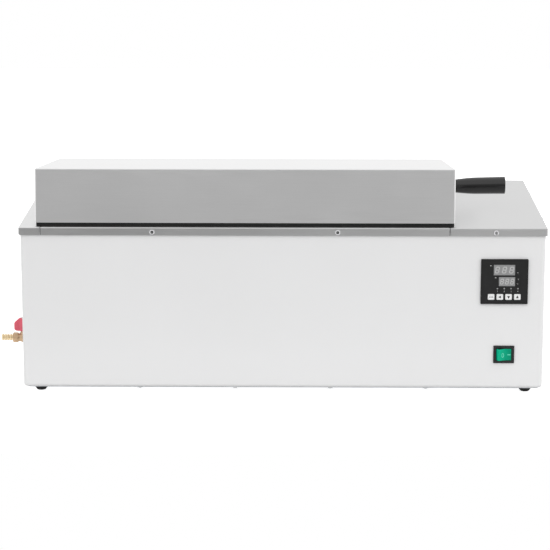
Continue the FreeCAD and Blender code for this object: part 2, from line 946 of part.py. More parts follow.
def lid_solid(inset, radius):
    """Lid wedge set in on every side, with the edges round its top bent."""
    x0, x1 = lid_left + inset, lid_right - inset
    shape = prism(lid_outline(inset, x0), RIGHT * (x1 - x0))
    low = lid_floor + inset
    edges = [e for e in shape.Edges if e.BoundBox.ZMax > low + NEAR]
    return shape.makeFillet(radius, edges)


def lid_shell():
    """Folded lid with a return flange all round its lower edge."""
    shell = lid_solid(0, lid_bend).cut(lid_solid(lid_sheet, max(lid_bend - lid_sheet, 0.3)))
    mouth = block(
        lid_left + lid_return,
        lid_right - lid_return,
        lid_front + lid_return,
        lid_back - lid_return,
        lid_floor - PAST,
        lid_floor + 2 * lid_sheet,
    )
    shell = shell.cut(mouth)
    shell = shell.cut(rod(stud_radius, grip_base() - RIGHT * (2 * lid_sheet), RIGHT, 4 * lid_sheet))
    for x, z in rivet_places():
        shell = shell.cut(rod(rivet_radius, V(x, lid_back - 2 * lid_sheet, z), BACK, 4 * lid_sheet))
    return shell


def lid_seal():
    """Black rubber frame under the return flange."""
    x0, x1 = lid_left + seal_inset, lid_right - seal_inset
    y0, y1 = lid_front + seal_inset, lid_back - seal_inset
    low = deck_top + seal_play
    outer = rounded_block(x0, x1, y0, y1, low, lid_floor, seal_corner)
    inner = block(
        x0 + seal_width, x1 - seal_width, y0 + seal_width, y1 - seal_width, low - PAST, lid_floor + PAST
    )
    return outer.cut(inner)


def grip_base():
    """Centre of the lid's right wall where the grip is bolted on."""
    return V(lid_right, grip_y, lid_floor + grip_rise)


def lid_grip():
    """Moulded grip: a slim neck that swells to a long barrel with a flat end."""
    start = grip_base() + RIGHT * collar_length
    neck = start + BACK * grip_neck_radius
    belly = start + RIGHT * grip_belly_at + BACK * grip_belly_radius
    end = start + RIGHT * (grip_length - grip_end_round) + BACK * grip_end_radius
    corner = start + RIGHT * grip_length + BACK * (grip_end_radius - grip_end_round)
    swell = start + RIGHT * (0.45 * grip_belly_at) + BACK * (
        grip_neck_radius + 0.72 * (grip_belly_radius - grip_neck_radius)
    )
    round_middle = start + RIGHT * (grip_length - 0.29 * grip_end_round) + BACK * (
        grip_end_radius - 0.29 * grip_end_round
    )
    outline = Part.Wire(
        [
            Part.makeLine(start, neck),
            Part.Arc(neck, swell, belly).toShape(),
            Part.makeLine(belly, end),
            Part.Arc(end, round_middle, corner).toShape(),
            Part.makeLine(corner, start + RIGHT * grip_length),
            Part.makeLine(start + RIGHT * grip_length, start),
        ]
    )
    body = Part.Face(outline).revolve(start, RIGHT, 360)
    return body.cut(rod(stud_radius, start - RIGHT * PAST, RIGHT, stud_in_grip + PAST))


def lid_grip_collar():
    """Steel collar between the lid and the grip."""
    ring = rod(collar_radius, grip_base(), RIGHT, collar_length)
    return ring.cut(rod(stud_radius, grip_base() - RIGHT * PAST, RIGHT, collar_length + 2 * PAST))


def lid_grip_stud():
    """Threaded stud from inside the lid into the grip."""
    length = stud_in_lid + collar_length + stud_in_grip
    return rod(stud_radius, grip_base() - RIGHT * stud_in_lid, RIGHT, length)


def lid_grip_nut():
    """Washer and nut on the stud, inside the lid."""
    wall = grip_base() - RIGHT * lid_sheet
    hole = rod(stud_radius, wall - RIGHT * (REACH / 2), RIGHT, REACH)
    washer = rod(stud_washer_radius, wall, LEFT, stud_washer).cut(hole)
    nut = hexagon(stud_nut_across_flats, wall - RIGHT * stud_washer, LEFT, stud_nut_height).cut(hole)
    return Part.makeCompound([washer, nut])


def knuckle_spans(centre, deck_side):
    """Ends of the barrel segments that belong to one leaf."""
    step = hinge_length / hinge_knuckles
    spans = []
    for i in range(hinge_knuckles):
        if (i % 2 == 0) == deck_side:
            start = centre - hinge_length / 2 + i * step
            spans.append((start + knuckle_gap / 2, start + step - knuckle_gap / 2))
    return spans


def leaf(centre, plate, deck_side):
    """Hinge leaf: plate cut clear of the other leaf's barrel, with its own barrel segments."""
    clear = knuckle_radius + knuckle_gap
    keep = Part.makeCompound(
        [
            block(x0, x1, hinge_y - clear, hinge_y + clear, hinge_z - clear, hinge_z + clear)
            for x0, x1 in knuckle_spans(centre, deck_side)
        ]
    )
    barrel_room = rod(clear, V(centre - REACH / 2, hinge_y, hinge_z), RIGHT, REACH)
    shape = plate.cut(barrel_room.cut(keep))
    for x0, x1 in knuckle_spans(centre, deck_side):
        shape = shape.fuse(rod(knuckle_radius, V(x0, hinge_y, hinge_z), RIGHT, x1 - x0))
    play = hinge_pin_play if not deck_side else 0
    bore = rod(hinge_pin_radius + play, V(centre - REACH / 2, hinge_y, hinge_z), RIGHT, REACH)
    return shape.removeSplitter().cut(bore)


def hinge_hole_xs(centre):
    """Stations of a leaf's two fasteners."""
    return centre - hinge_hole_pitch / 2, centre + hinge_hole_pitch / 2


def deck_leaf(centre):
    """Leaf that lies on the deck, with countersunk holes."""
    plate = block(
        centre - hinge_length / 2,
        centre + hinge_length / 2,
        hinge_y,
        hinge_y + hinge_leaf_width,
        deck_top,
        deck_top + hinge_leaf,
    )
    shape = leaf(centre, plate, True)
    for place in hinge_screw_places(centre):
        shape = shape.cut(sunk_screw(place))
    return shape


def lid_leaf(centre):
    """Leaf that stands against the lid's back wall, with rivet holes."""
    plate = block(
        centre - hinge_length / 2,
        centre + hinge_length / 2,
        lid_back,
        lid_back + hinge_leaf,
        hinge_z,
        hinge_z + hinge_leaf_width,
    )
    shape = leaf(centre, plate, False)
    for x in hinge_hole_xs(centre):
        shape = shape.cut(rod(rivet_radius, V(x, lid_back - PAST, rivet_z()), BACK, hinge_leaf + 2 * PAST))
    return shape


def hinge_pin(centre):
    """Pin through the barrel, level with its ends."""
    return rod(hinge_pin_radius, V(centre - hinge_length / 2, hinge_y, hinge_z), RIGHT, hinge_length)


def hinge_screw_places(centre):
    """Points on top of the deck leaf where its screws go in."""
    y = hinge_y + hinge_leaf_width - hinge_hole_edge
    return [V(x, y, deck_top + hinge_leaf) for x in hinge_hole_xs(centre)]


def sunk_screw(place):
    """Countersunk screw, level with the leaf's top."""
    cone = hinge_sink_radius - hinge_screw_radius
    profile = [
        (0, 0),
        (0, hinge_sink_radius),
        (min(cone, hinge_leaf), hinge_screw_radius),
        (hinge_screw_length, hinge_screw_radius),
        (hinge_screw_length, 0),
    ]
    return turned(profile, place, DOWN)


def driver_slot(place, depth):
    """Slot along X in the top of a screw head whose middle is at place."""
    half = driver_slot_width / 2
    x0, x1 = place.x - REACH / 2, place.x + REACH / 2
    return block(x0, x1, place.y - half, place.y + half, place.z - depth, place.z + PAST)


def hinge_deck_screws():
    """Four countersunk screws with a slot for the driver."""
    screws = []
    for centre in hinge_places.values():
        for place in hinge_screw_places(centre):
            screws.append(sunk_screw(place).cut(driver_slot(place, hinge_screw_slot_depth)))
    return Part.makeCompound(screws)


def rivet_z():
    """Height of the rivets in the lid leaves."""
    return hinge_z + hinge_leaf_width - hinge_hole_edge


def rivet_places():
    """(x, z) of each rivet in the lid's back wall."""
    return [(x, rivet_z()) for centre in hinge_places.values() for x in hinge_hole_xs(centre)]


def hinge_rivets():
    """Rivets through the lid leaves and the lid's back wall, with a low head at each end."""
    outside, inside = lid_back + hinge_leaf, lid_back - lid_sheet
    rivets = []
    for x, z in rivet_places():
        profile = [
            (0, 0),
            (0, 0.7 * rivet_head_radius),
            (rivet_head, rivet_head_radius),
            (rivet_head, rivet_radius),
            (rivet_head + outside - inside, rivet_radius),
            (rivet_head + outside - inside, rivet_head_radius),
            (2 * rivet_head + outside - inside, 0.7 * rivet_head_radius),
            (2 * rivet_head + outside - inside, 0),
        ]
        rivets.append(turned(profile, V(x, outside + rivet_head, z), FRONT))
    return Part.makeCompound(rivets)


def drain_pipe():
    """Bent pipe from the tank's floor out through the casing's left wall into the valve."""
    start = V(drain_x, drain_y, tank_floor - tank_sheet)
    above = V(drain_x, drain_y, drain_z + drain_bend)
    beside = V(drain_x - drain_bend, drain_y, drain_z)
    share = drain_bend * (1 - math.cos(math.pi / 4))
    middle = V(drain_x - share, drain_y, drain_z + share)
    end = V(valve_start - valve_socket, drain_y, drain_z)
    path = Part.Wire(
        [Part.makeLine(start, above), Part.Arc(above, middle, beside).toShape(), Part.makeLine(beside, end)]
    )
    outer, inner = (
        path.makePipeShell([Part.Wire(Part.makeCircle(radius, start, DOWN))], True, False)
        for radius in (pipe_radius, pipe_bore)
    )
    return outer.cut(inner)


def drain_locknuts():
    """Nut on each side of the casing's left wall."""
    hole = rod(pipe_radius, V(case_left - REACH / 2, drain_y, drain_z), RIGHT, REACH)
    outside = hexagon(locknut_across_flats, V(case_left, drain_y, drain_z), LEFT, locknut_height)
    inside = hexagon(locknut_across_flats, V(case_left + case_sheet, drain_y, drain_z), RIGHT, locknut_height)
    return Part.makeCompound([outside.cut(hole), inside.cut(hole)])


def valve_body():
    """Brass body: a hexagon at each end, a round belly for the ball and a boss for the stem."""
    start, centre = V(valve_start, drain_y, drain_z), V(stem_x, drain_y, drain_z)
    body = rod(valve_waist_radius, start, LEFT, valve_length)
    body = body.fuse(hexagon(valve_across_flats, start, LEFT, valve_hex_in))
    body = body.fuse(hexagon(valve_across_flats, V(valve_end, drain_y, drain_z), RIGHT, valve_hex_out))
    body = body.fuse(Part.makeSphere(valve_belly_radius, centre))
    body = body.fuse(rod(boss_radius, centre, UP, boss_rise))
    body = body.cut(rod(pipe_radius, start + RIGHT * PAST, LEFT, valve_socket + PAST))
    body = body.cut(rod(valve_bore, start, LEFT, valve_length))
    outlet = V(valve_end - PAST, drain_y, drain_z)
    body = body.cut(rod(barb_thread_radius, outlet, RIGHT, barb_thread_length + PAST))
    body = body.cut(Part.makeSphere(ball_radius + ball_play, centre))
    return body.cut(rod(stem_radius + stem_play, centre, UP, REACH))


def stem_seat():
    """Height at which the stem's shoulder meets the ball's flat."""
    return drain_z + math.sqrt(ball_radius**2 - stem_radius**2)


def valve_ball():
    """Ball with its bore along the pipe and a slot for the stem's tongue."""
    centre = V(stem_x, drain_y, drain_z)
    ball = Part.makeSphere(ball_radius, centre)
    ball = ball.cut(rod(valve_bore, centre - RIGHT * (REACH / 2), RIGHT, REACH))
    seat = stem_seat()
    ball = ball.cut(rod(2 * ball_radius, V(stem_x, drain_y, seat), UP, 2 * ball_radius))
    half = stem_slot / 2
    slot = block(
        stem_x - stem_radius,
        stem_x + stem_radius,
        drain_y - half,
        drain_y + half,
        seat - stem_tongue_depth,
        seat + PAST,
    )
    return ball.cut(slot)


def valve_stem():
    """Stem with a tongue in the ball's slot."""
    base = V(stem_x, drain_y, stem_seat())
    stem = rod(stem_radius, base, UP, drain_z + stem_rise - base.z)
    half = stem_slot / 2
    width = 0.9 * stem_radius
    tongue = block(
        stem_x - width,
        stem_x + width,
        drain_y - half,
        drain_y + half,
        base.z - 0.9 * stem_tongue_depth,
        base.z + PAST,
    )
    stem_top = V(stem_x, drain_y, drain_z + stem_rise)
    return stem.fuse(tongue).removeSplitter().cut(rod(handle_screw_radius, stem_top, DOWN, handle_screw_hole))


def valve_handle():
    """Red wing handle: a round hub with two upright wings that fall away towards their tips."""
    low = drain_z + handle_rise
    base = V(stem_x, drain_y, low)
    hub = Part.makeCone(hub_radius, 0.86 * hub_radius, handle_height, base, UP)
    outline = [
        (-handle_half_span + handle_foot_cut, 0.0),
        (-handle_half_span, handle_tip_low + handle_foot_cut),
        (-handle_half_span, handle_tip_high),
        (-handle_shoulder, handle_height),
        (handle_shoulder, handle_height),
        (handle_half_span, handle_tip_high),
        (handle_half_span, handle_tip_low + handle_foot_cut),
        (handle_half_span - handle_foot_cut, 0.0),
    ]
    points = [base + RIGHT * x + UP * z + FRONT * (wing_thickness / 2) for x, z in outline]
    wings = prism(points, BACK * wing_thickness)
    wings = wings.makeFillet(wing_round, wings.Edges)
    handle = hub.fuse(wings)
    screw_top = V(stem_x, drain_y, low + handle_height + PAST)
    handle = handle.cut(rod(stem_radius, base + DOWN * PAST, UP, stem_rise - handle_rise + PAST))
    handle = handle.cut(rod(handle_screw_radius, base, UP, handle_height))
    return handle.cut(rod(handle_screw_head_radius + body_play, screw_top, DOWN, handle_screw_head + PAST))


def valve_handle_screw():
    """Screw that holds the handle on the stem."""
    top = drain_z + handle_rise + handle_height
    profile = [
        (0, 0),
        (0, handle_screw_head_radius),
        (handle_screw_head, handle_screw_head_radius),
        (handle_screw_head, handle_screw_radius),
        (handle_screw_head + handle_screw_length, handle_screw_radius),
        (handle_screw_head + handle_screw_length, 0),
    ]
    place = V(stem_x, drain_y, top)
    return turned(profile, place, DOWN).cut(driver_slot(place, handle_screw_slot_depth))


def hose_barb():
    """Barbed hose tail screwed into the valve's outlet."""
    pitch = (barb_length - barb_neck) / barb_ridges
    profile = [
        (-barb_thread_length, barb_bore),
        (-barb_thread_length, barb_thread_radius),
        (0, barb_thread_radius),
        (0, barb_root_radius),
    ]
    for ridge in range(barb_ridges):
        step = barb_neck + (ridge + 0.3) * pitch
        profile.append((step, barb_root_radius))
        profile.append((step, barb_radius))
        profile.append((step + barb_land, barb_radius))
        profile.append((barb_neck + (ridge + 1) * pitch, barb_root_radius))
    profile.append((barb_length, barb_bore))
    return turned(profile, V(valve_end, drain_y, drain_z), LEFT)


def panel_block(width, height, x, z, y0, y1, corner=0.0):
    """Block on the front, given by its size and centre, with rounded corners if asked."""
    sides = (x - width / 2, x + width / 2, y0, y1, z - height / 2, z + height / 2)
    return rounded_block(*sides, corner, BACK) if corner else block(*sides)


def display_sizes():
    """(width, height, x, z) of the upper and the lower display."""
    return [
        (
            upper_display_width,
            upper_display_height,
            panel_centre_x + upper_display_x,
            panel_centre_z + upper_display_z,
        ),
        (
            lower_display_width,
            lower_display_height,
            panel_centre_x + lower_display_x,
            panel_centre_z + lower_display_z,
        ),
    ]


def lamp_places():
    """Centres of the four indicator lamps, on the panel's plane."""
    z = panel_centre_z + lamp_z
    return [(panel_centre_x + lamp_x + (i - 1.5) * lamp_pitch, z) for i in range(4)]


def controller_panel():
    """Black front of the controller with windows for the displays, lamps and keys."""
    front = case_front - panel_proud
    panel = panel_block(
        panel_width, panel_height, panel_centre_x, panel_centre_z, front, case_front, panel_corner
    )
    edge = [e for e in panel.Edges if abs(e.BoundBox.YMax - front) < NEAR]
    panel = panel.makeFillet(0.6, edge)
    recess = panel_block(
        panel_width - 2 * panel_rim,
        panel_height - 2 * panel_rim,
        panel_centre_x,
        panel_centre_z,
        front - PAST,
        front + panel_rim_rise,
        panel_corner,
    )
    panel = panel.cut(recess)
    for width, height, x, z in display_sizes():
        panel = panel.cut(panel_block(width, height, x, z, front - PAST, case_front + PAST))
    for x, z in lamp_places():
        panel = panel.cut(rod(lamp_radius, V(x, front - PAST, z), BACK, panel_proud + 2 * PAST))
    for x in key_row:
        panel = panel.cut(
            panel_block(
                key_width + 2 * key_play,
                key_height + 2 * key_play,
                x,
                panel_centre_z + key_z,
                front - PAST,
                case_front + PAST,
                key_corner + key_play,
            )
        )
    return panel


def controller_housing():
    """Open-fronted box behind the panel."""
    outer = panel_block(
        housing_width,
        housing_height,
        panel_centre_x,
        panel_centre_z,
        housing_front,
        housing_front + housing_depth,
        2 * housing_wall,
    )
    inner = panel_block(
        housing_width - 2 * housing_wall,
        housing_height - 2 * housing_wall,
        panel_centre_x,
        panel_centre_z,
        housing_front - PAST,
        housing_front + housing_depth - housing_wall,
        housing_wall,
    )
    return outer.cut(inner)


def controller_board():
    """Circuit board that carries the displays, lamps and key switches."""
    fit = 2 * housing_wall + body_play
    return panel_block(
        housing_width - fit,
        housing_height - fit,
        panel_centre_x,
        panel_centre_z,
        board_front,
        board_front + board_sheet,
        housing_wall,
    )


def display(size):
    """Display module from the board to just behind the panel's face."""
    width, height, x, z = size
    return panel_block(width, height, x, z, case_front - panel_proud + display_recess, board_front)


def indicator_lamps():
    """Four lamps with domed tips, standing on the board."""
    tip = case_front - panel_proud + 0.3
    lamps = []
    for x, z in lamp_places():
        lamp = rod(lamp_radius - 0.02, V(x, board_front, z), FRONT, board_front - tip)
        end = [e for e in lamp.Edges if e.BoundBox.YMax < tip + NEAR]
        lamps.append(lamp.makeFillet(0.6 * lamp_radius, end))
    return Part.makeCompound(lamps)


def key(x):
    """Push key: a cap through the panel, a flange behind it and a rod towards its switch."""
    z = panel_centre_z + key_z
    front = case_front - panel_proud - key_proud
    cap = panel_block(key_width, key_height, x, z, front, case_front + key_flange_thickness, key_corner)
    cap = cap.makeFillet(0.35, [e for e in cap.Edges if abs(e.BoundBox.YMax - front) < NEAR])
    back = case_front + 0.1
    flange = panel_block(
        key_width + 2 * (key_play + key_flange),
        key_height + 2 * (key_play + key_flange),
        x,
        z,
        back,
        back + key_flange_thickness,
    )
    rod_length = board_front - key_switch_height - key_travel - body_play - back
    return cap.fuse(flange).fuse(rod(key_rod_radius, V(x, back, z), BACK, rod_length)).removeSplitter()


def key_switches():
    """Four push switches on the board, one behind each key."""
    z = panel_centre_z + key_z
    bodies = []
    for x in key_row:
        body = panel_block(
            key_switch_side, key_switch_side, x, z, board_front - 0.7 * key_switch_height, board_front
        )
        plunger = rod(key_plunger_radius, V(x, board_front, z), FRONT, key_switch_height)
        bodies.append(body.fuse(plunger).removeSplitter())
    return Part.makeCompound(bodies)


def switch_frame():
    """Rocker switch's moulded frame and body, with the well that the rocker turns in."""
    front = case_front - switch_proud
    x, z = switch_centre_x, switch_centre_z
    frame = panel_block(switch_width, switch_height, x, z, front, case_front, switch_corner)
    edge = [e for e in frame.Edges if abs(e.BoundBox.YMax - front) < NEAR]
    frame = frame.makeFillet(0.5, edge)
    body = panel_block(
        switch_body_width, switch_body_height, x, z, case_front, case_front + switch_body_depth
    )
    well = panel_block(
        rocker_width + 2 * rocker_play,
        rocker_height + 2 * rocker_play,
        x,
        z,
        front - PAST,
        front + switch_well_depth,
    )
    shape = frame.fuse(body).removeSplitter().cut(well)
    reach = rocker_height / 2 + rocker_pin_length + body_play
    pin_holes = rod(rocker_pin_radius + rocker_pin_play, V(x, rocker_pivot_y, z - reach), UP, 2 * reach)
    return shape.cut(pin_holes)


def rocker_side(side):
    """One side of the rocker's section, from its front corner to its back corner.

    Level with the pivot the side is an arc about it, so that it turns inside the well. In front of
    that it is straight, and stands square to the frame once that side is pressed in.
    """
    half, tilt = rocker_width / 2, math.radians(rocker_tilt)
    depth = rocker_pivot_depth + rocker_proud
    back_angle = math.asin(rocker_back / half)
    middle_angle = (back_angle - tilt) / 2
    corner = V(side * (half * math.cos(tilt) - depth * math.sin(tilt)), 0, 0)
    corner.y = -half * math.sin(tilt) - depth * math.cos(tilt)
    arc = [V(side * half * math.cos(a), half * math.sin(a), 0) for a in (-tilt, middle_angle, back_angle)]
    return corner, arc


def switch_rocker():
    """Green rocker with a shallow vee front, pivoted on an upright pin. Its left half stands out."""
    pivot = V(switch_centre_x, rocker_pivot_y, switch_centre_z - rocker_height / 2)
    left, left_arc = rocker_side(-1)
    right, right_arc = rocker_side(1)
    crest = V(0, right.y + right.x * math.tan(math.radians(rocker_tilt)), 0)
    edges = [Part.makeLine(left, crest), Part.makeLine(crest, right), Part.makeLine(right, right_arc[0])]
    edges += [Part.Arc(*right_arc).toShape(), Part.makeLine(right_arc[2], left_arc[2])]
    edges += [Part.Arc(*reversed(left_arc)).toShape(), Part.makeLine(left_arc[0], left)]
    body = Part.Face(Part.Wire(edges)).extrude(UP * rocker_height)
    body = rounded(body, rocker_end_round, UP, lambda m: m.y < crest.y - NEAR)
    front = [e for e in body.Edges if e.BoundBox.YMax < crest.y + NEAR and e.BoundBox.ZLength < NEAR]
    body = body.makeFillet(rocker_edge_round, front)
    body.translate(pivot)
    length = rocker_height + 2 * rocker_pin_length
    body = body.fuse(rod(rocker_pin_radius, pivot + DOWN * rocker_pin_length, UP, length)).removeSplitter()
    body.rotate(pivot, UP, rocker_tilt)
    return body


def switch_terminals():
    """Four spade terminals at the back of the switch."""
    back = case_front + switch_body_depth
    tabs = []
    for side in (-0.5, 0.5):
        for level in (-0.5, 0.5):
            x, z = switch_centre_x + side * terminal_pitch_x, switch_centre_z + level * terminal_pitch_z
            tabs.append(panel_block(terminal_sheet, terminal_width, x, z, back, back + terminal_length))
    return Part.makeCompound(tabs)


def inlet_profile(width, height, y0, y1):
    """Inlet outline with its two upper corners cut off, pushed from y0 to y1."""
    x0, x1 = inlet_centre_x - width / 2, inlet_centre_x + width / 2
    z0, z1 = inlet_centre_z - height / 2, inlet_centre_z + height / 2
    cut = inlet_chamfer
    outline = [(x0, z0), (x1, z0), (x1, z1 - cut), (x1 - cut, z1), (x0 + cut, z1), (x0, z1 - cut)]
    return prism([V(x, y0, z) for x, z in outline], BACK * (y1 - y0))


def power_inlet():
    """Appliance inlet on the back, with the well for the connector."""
    face = case_back + inlet_flange_sheet
    flange = rounded_block(
        inlet_centre_x - inlet_flange_width / 2,
        inlet_centre_x + inlet_flange_width / 2,
        case_back,
        face,
        inlet_centre_z - inlet_flange_height / 2,
        inlet_centre_z + inlet_flange_height / 2,
        inlet_flange_corner,
        BACK,
    )
    body = block(
        inlet_centre_x - inlet_body_width / 2,
        inlet_centre_x + inlet_body_width / 2,
        case_back - inlet_body_depth,
        case_back,
        inlet_centre_z - inlet_body_height / 2,
        inlet_centre_z + inlet_body_height / 2,
    )
    well = inlet_profile(inlet_well_width, inlet_well_height, face - inlet_well_depth, face + PAST)
    return flange.fuse(body).removeSplitter().cut(well)


def inlet_pins():
    """Three flat pins standing in the inlet's well."""
    start = case_back + inlet_flange_sheet - inlet_well_depth
    pins = []
    for step in (-1, 0, 1):
        x = inlet_centre_x + step * pin_pitch
        z = inlet_centre_z + (0.0 if step else pin_earth_rise) - pin_earth_rise / 2
        half_width, half_height = pin_width / 2, pin_height / 2
        pins.append(
            block(x - half_width, x + half_width, start, start + pin_length, z - half_height, z + half_height)
        )
    return Part.makeCompound(pins)


def relay_heat_sink():
    """Extruded heat sink on the divider: a base plate with upright fins."""
    x0 = divider_x + divider_sheet
    y0, y1 = sink_centre_y - sink_length / 2, sink_centre_y + sink_length / 2
    z0, z1 = sink_centre_z - sink_height / 2, sink_centre_z + sink_height / 2
    sink = block(x0, x0 + sink_base, y0, y1, z0, z1)
    free = (sink_length - relay_length) / 2
    for i in range(sink_fins):
        y = y0 + i * (sink_length - sink_fin) / (sink_fins - 1)
        under_relay = y0 + free - sink_fin < y < y1 - free
        if not under_relay:
            sink = sink.fuse(block(x0, x0 + sink_depth, y, y + sink_fin, z0, z1))
    return sink.removeSplitter()


def relay():
    """Solid-state relay on the heat sink's base."""
    x0 = divider_x + divider_sheet + sink_base
    half_length, half_height = relay_length / 2, relay_height / 2
    return rounded_block(
        x0,
        x0 + relay_depth,
        sink_centre_y - half_length,
        sink_centre_y + half_length,
        sink_centre_z - half_height,
        sink_centre_z + half_height,
        2.0,
        RIGHT,
    )


def terminal_block():
    """Stepped terminal block on the base plate, with a screw well for each way."""
    x0, x1 = terminal_block_x - terminal_block_length / 2, terminal_block_x + terminal_block_length / 2
    y0, y1 = terminal_block_y - terminal_block_depth / 2, terminal_block_y + terminal_block_depth / 2
    low, top = case_floor, case_floor + terminal_block_height
    step = terminal_block_step
    outline = [
        (y0, low),
        (y1, low),
        (y1, top - step),
        (y1 - step, top - step),
        (y1 - step, top),
        (y0 + step, top),
        (y0 + step, top - step),
        (y0, top - step),
    ]
    shape = prism([V(x0, y, z) for y, z in outline], RIGHT * (x1 - x0))
    pitch = terminal_block_length / terminal_block_ways
    for way in range(terminal_block_ways):
        place = V(x0 + (way + 0.5) * pitch, terminal_block_y, top + PAST)
        shape = shape.cut(rod(terminal_well_share * pitch, place, DOWN, step + PAST))
    return shape


def build():
    """Every piece by the name of its node."""
    upper, lower = display_sizes()
    pieces = {
        "case_shell": case_shell(),
        "base_plate": base_plate(),
        "base_screws": base_screws(),
        "foot_screws": foot_screws(),
        "tank_rim": tank_rim(),
        "left_end_cover": left_end_cover(),
        "right_end_cover": right_end_cover(),
        "deck_screws": deck_screws(),
        "tank": tank(),
        "false_floor": false_floor(),
        "heater_tube": heater_tube(),
        "heater_rest": heater_rest(),
        "probe_sheath": probe_sheath(),
        "wall_fittings": wall_fittings(),
        "tank_insulation": tank_insulation(),
        "divider_panel": divider_panel(),
        "lid_shell": lid_shell(),
        "lid_seal": lid_seal(),
        "lid_grip": lid_grip(),
        "lid_grip_collar": lid_grip_collar(),
        "lid_grip_stud": lid_grip_stud(),
        "lid_grip_nut": lid_grip_nut(),
        "hinge_deck_screws": hinge_deck_screws(),
        "hinge_rivets": hinge_rivets(),
        "drain_pipe": drain_pipe(),
        "drain_locknuts": drain_locknuts(),
        "valve_body": valve_body(),
        "valve_ball": valve_ball(),
        "valve_stem": valve_stem(),
        "valve_handle": valve_handle(),
        "valve_handle_screw": valve_handle_screw(),
        "hose_barb": hose_barb(),
        "controller_panel": controller_panel(),
        "controller_housing": controller_housing(),
        "controller_board": controller_board(),
        "upper_display": display(upper),
        "lower_display": display(lower),
        "indicator_lamps": indicator_lamps(),
        "key_switches": key_switches(),
        "switch_frame": switch_frame(),
        "switch_rocker": switch_rocker(),
        "switch_terminals": switch_terminals(),
        "power_inlet": power_inlet(),
        "inlet_pins": inlet_pins(),
        "relay_heat_sink": relay_heat_sink(),
        "relay": relay(),
        "terminal_block": terminal_block(),
    }
    for side, place in foot_places().items():
        pieces["foot_" + side] = foot(place)
    for side, centre in hinge_places.items():
        pieces["hinge_" + side + "_deck_leaf"] = deck_leaf(centre)
        pieces["hinge_" + side + "_lid_leaf"] = lid_leaf(centre)
    pieces["hinge_pins"] = Part.makeCompound([hinge_pin(centre) for centre in hinge_places.values()])
    for name, x in zip(key_names, key_row):
        pieces["key_" + name] = key(x)
    return pieces


def centred(pieces):
    """Moves every piece so that the origin lies under the middle of the part's outline."""
    left = valve_end - barb_length
    right = deck_right + screw_head_height
    for shape in pieces.values():
        shape.translate(V(-(left + right) / 2, 0, 0))
    return pieces


os.makedirs("parts", exist_ok=True)
for name, shape in centred(build()).items():
    shape.exportStep(os.path.join("parts", name + ".step"))
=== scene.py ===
import json
import math

import bmesh
import bpy
import numpy as np
from bpy.props import FloatProperty, FloatVectorProperty, IntProperty, PointerProperty
from bpy.types import Operator, Panel, PropertyGroup
from mathutils import Euler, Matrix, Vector


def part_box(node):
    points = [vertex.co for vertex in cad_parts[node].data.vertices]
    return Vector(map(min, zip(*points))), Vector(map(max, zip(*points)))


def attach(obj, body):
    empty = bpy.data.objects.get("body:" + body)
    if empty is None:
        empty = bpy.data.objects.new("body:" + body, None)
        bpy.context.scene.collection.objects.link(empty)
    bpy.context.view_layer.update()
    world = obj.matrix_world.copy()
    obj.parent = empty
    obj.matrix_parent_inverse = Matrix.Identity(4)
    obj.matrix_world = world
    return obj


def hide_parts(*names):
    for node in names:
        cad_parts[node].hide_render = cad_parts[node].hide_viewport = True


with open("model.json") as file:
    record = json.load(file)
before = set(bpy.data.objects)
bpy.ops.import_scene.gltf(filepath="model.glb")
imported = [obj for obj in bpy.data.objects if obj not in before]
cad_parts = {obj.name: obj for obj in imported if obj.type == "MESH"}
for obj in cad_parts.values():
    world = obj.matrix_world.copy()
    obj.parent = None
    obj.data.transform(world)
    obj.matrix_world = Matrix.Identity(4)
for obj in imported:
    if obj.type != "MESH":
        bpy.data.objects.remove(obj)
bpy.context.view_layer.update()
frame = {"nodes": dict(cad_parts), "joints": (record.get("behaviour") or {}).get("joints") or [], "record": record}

bl_info = {
    "name": "Water bath dressing",
    "version": (1, 0, 0),
    "blender": (4, 5, 0),
    "location": "3D View > Sidebar > Water bath",
    "description": "Builds the visible pieces and finishes of a bench water bath round its fixed frame",
    "category": "Object",
}

NODES = frame["nodes"]
JOINTS = {joint["name"]: joint for joint in frame["joints"]}
OWN = "bath_"  # starts the names of the finishes made here, beside the frame's plain ones


def length(name, description, default):
    """A size that the user can change, in metres."""
    return FloatProperty(name=name, description=description, default=default, unit="LENGTH", precision=5)


def turn(name, description, degrees):
    """An angle that the user can change, given in degrees."""
    return FloatProperty(name=name, description=description, default=math.radians(degrees), unit="ROTATION")


def colour(name, description, default):
    """A colour that the user can change."""
    return FloatVectorProperty(
        name=name, description=description, default=default, subtype="COLOR", size=3, min=0.0, max=1.0
    )


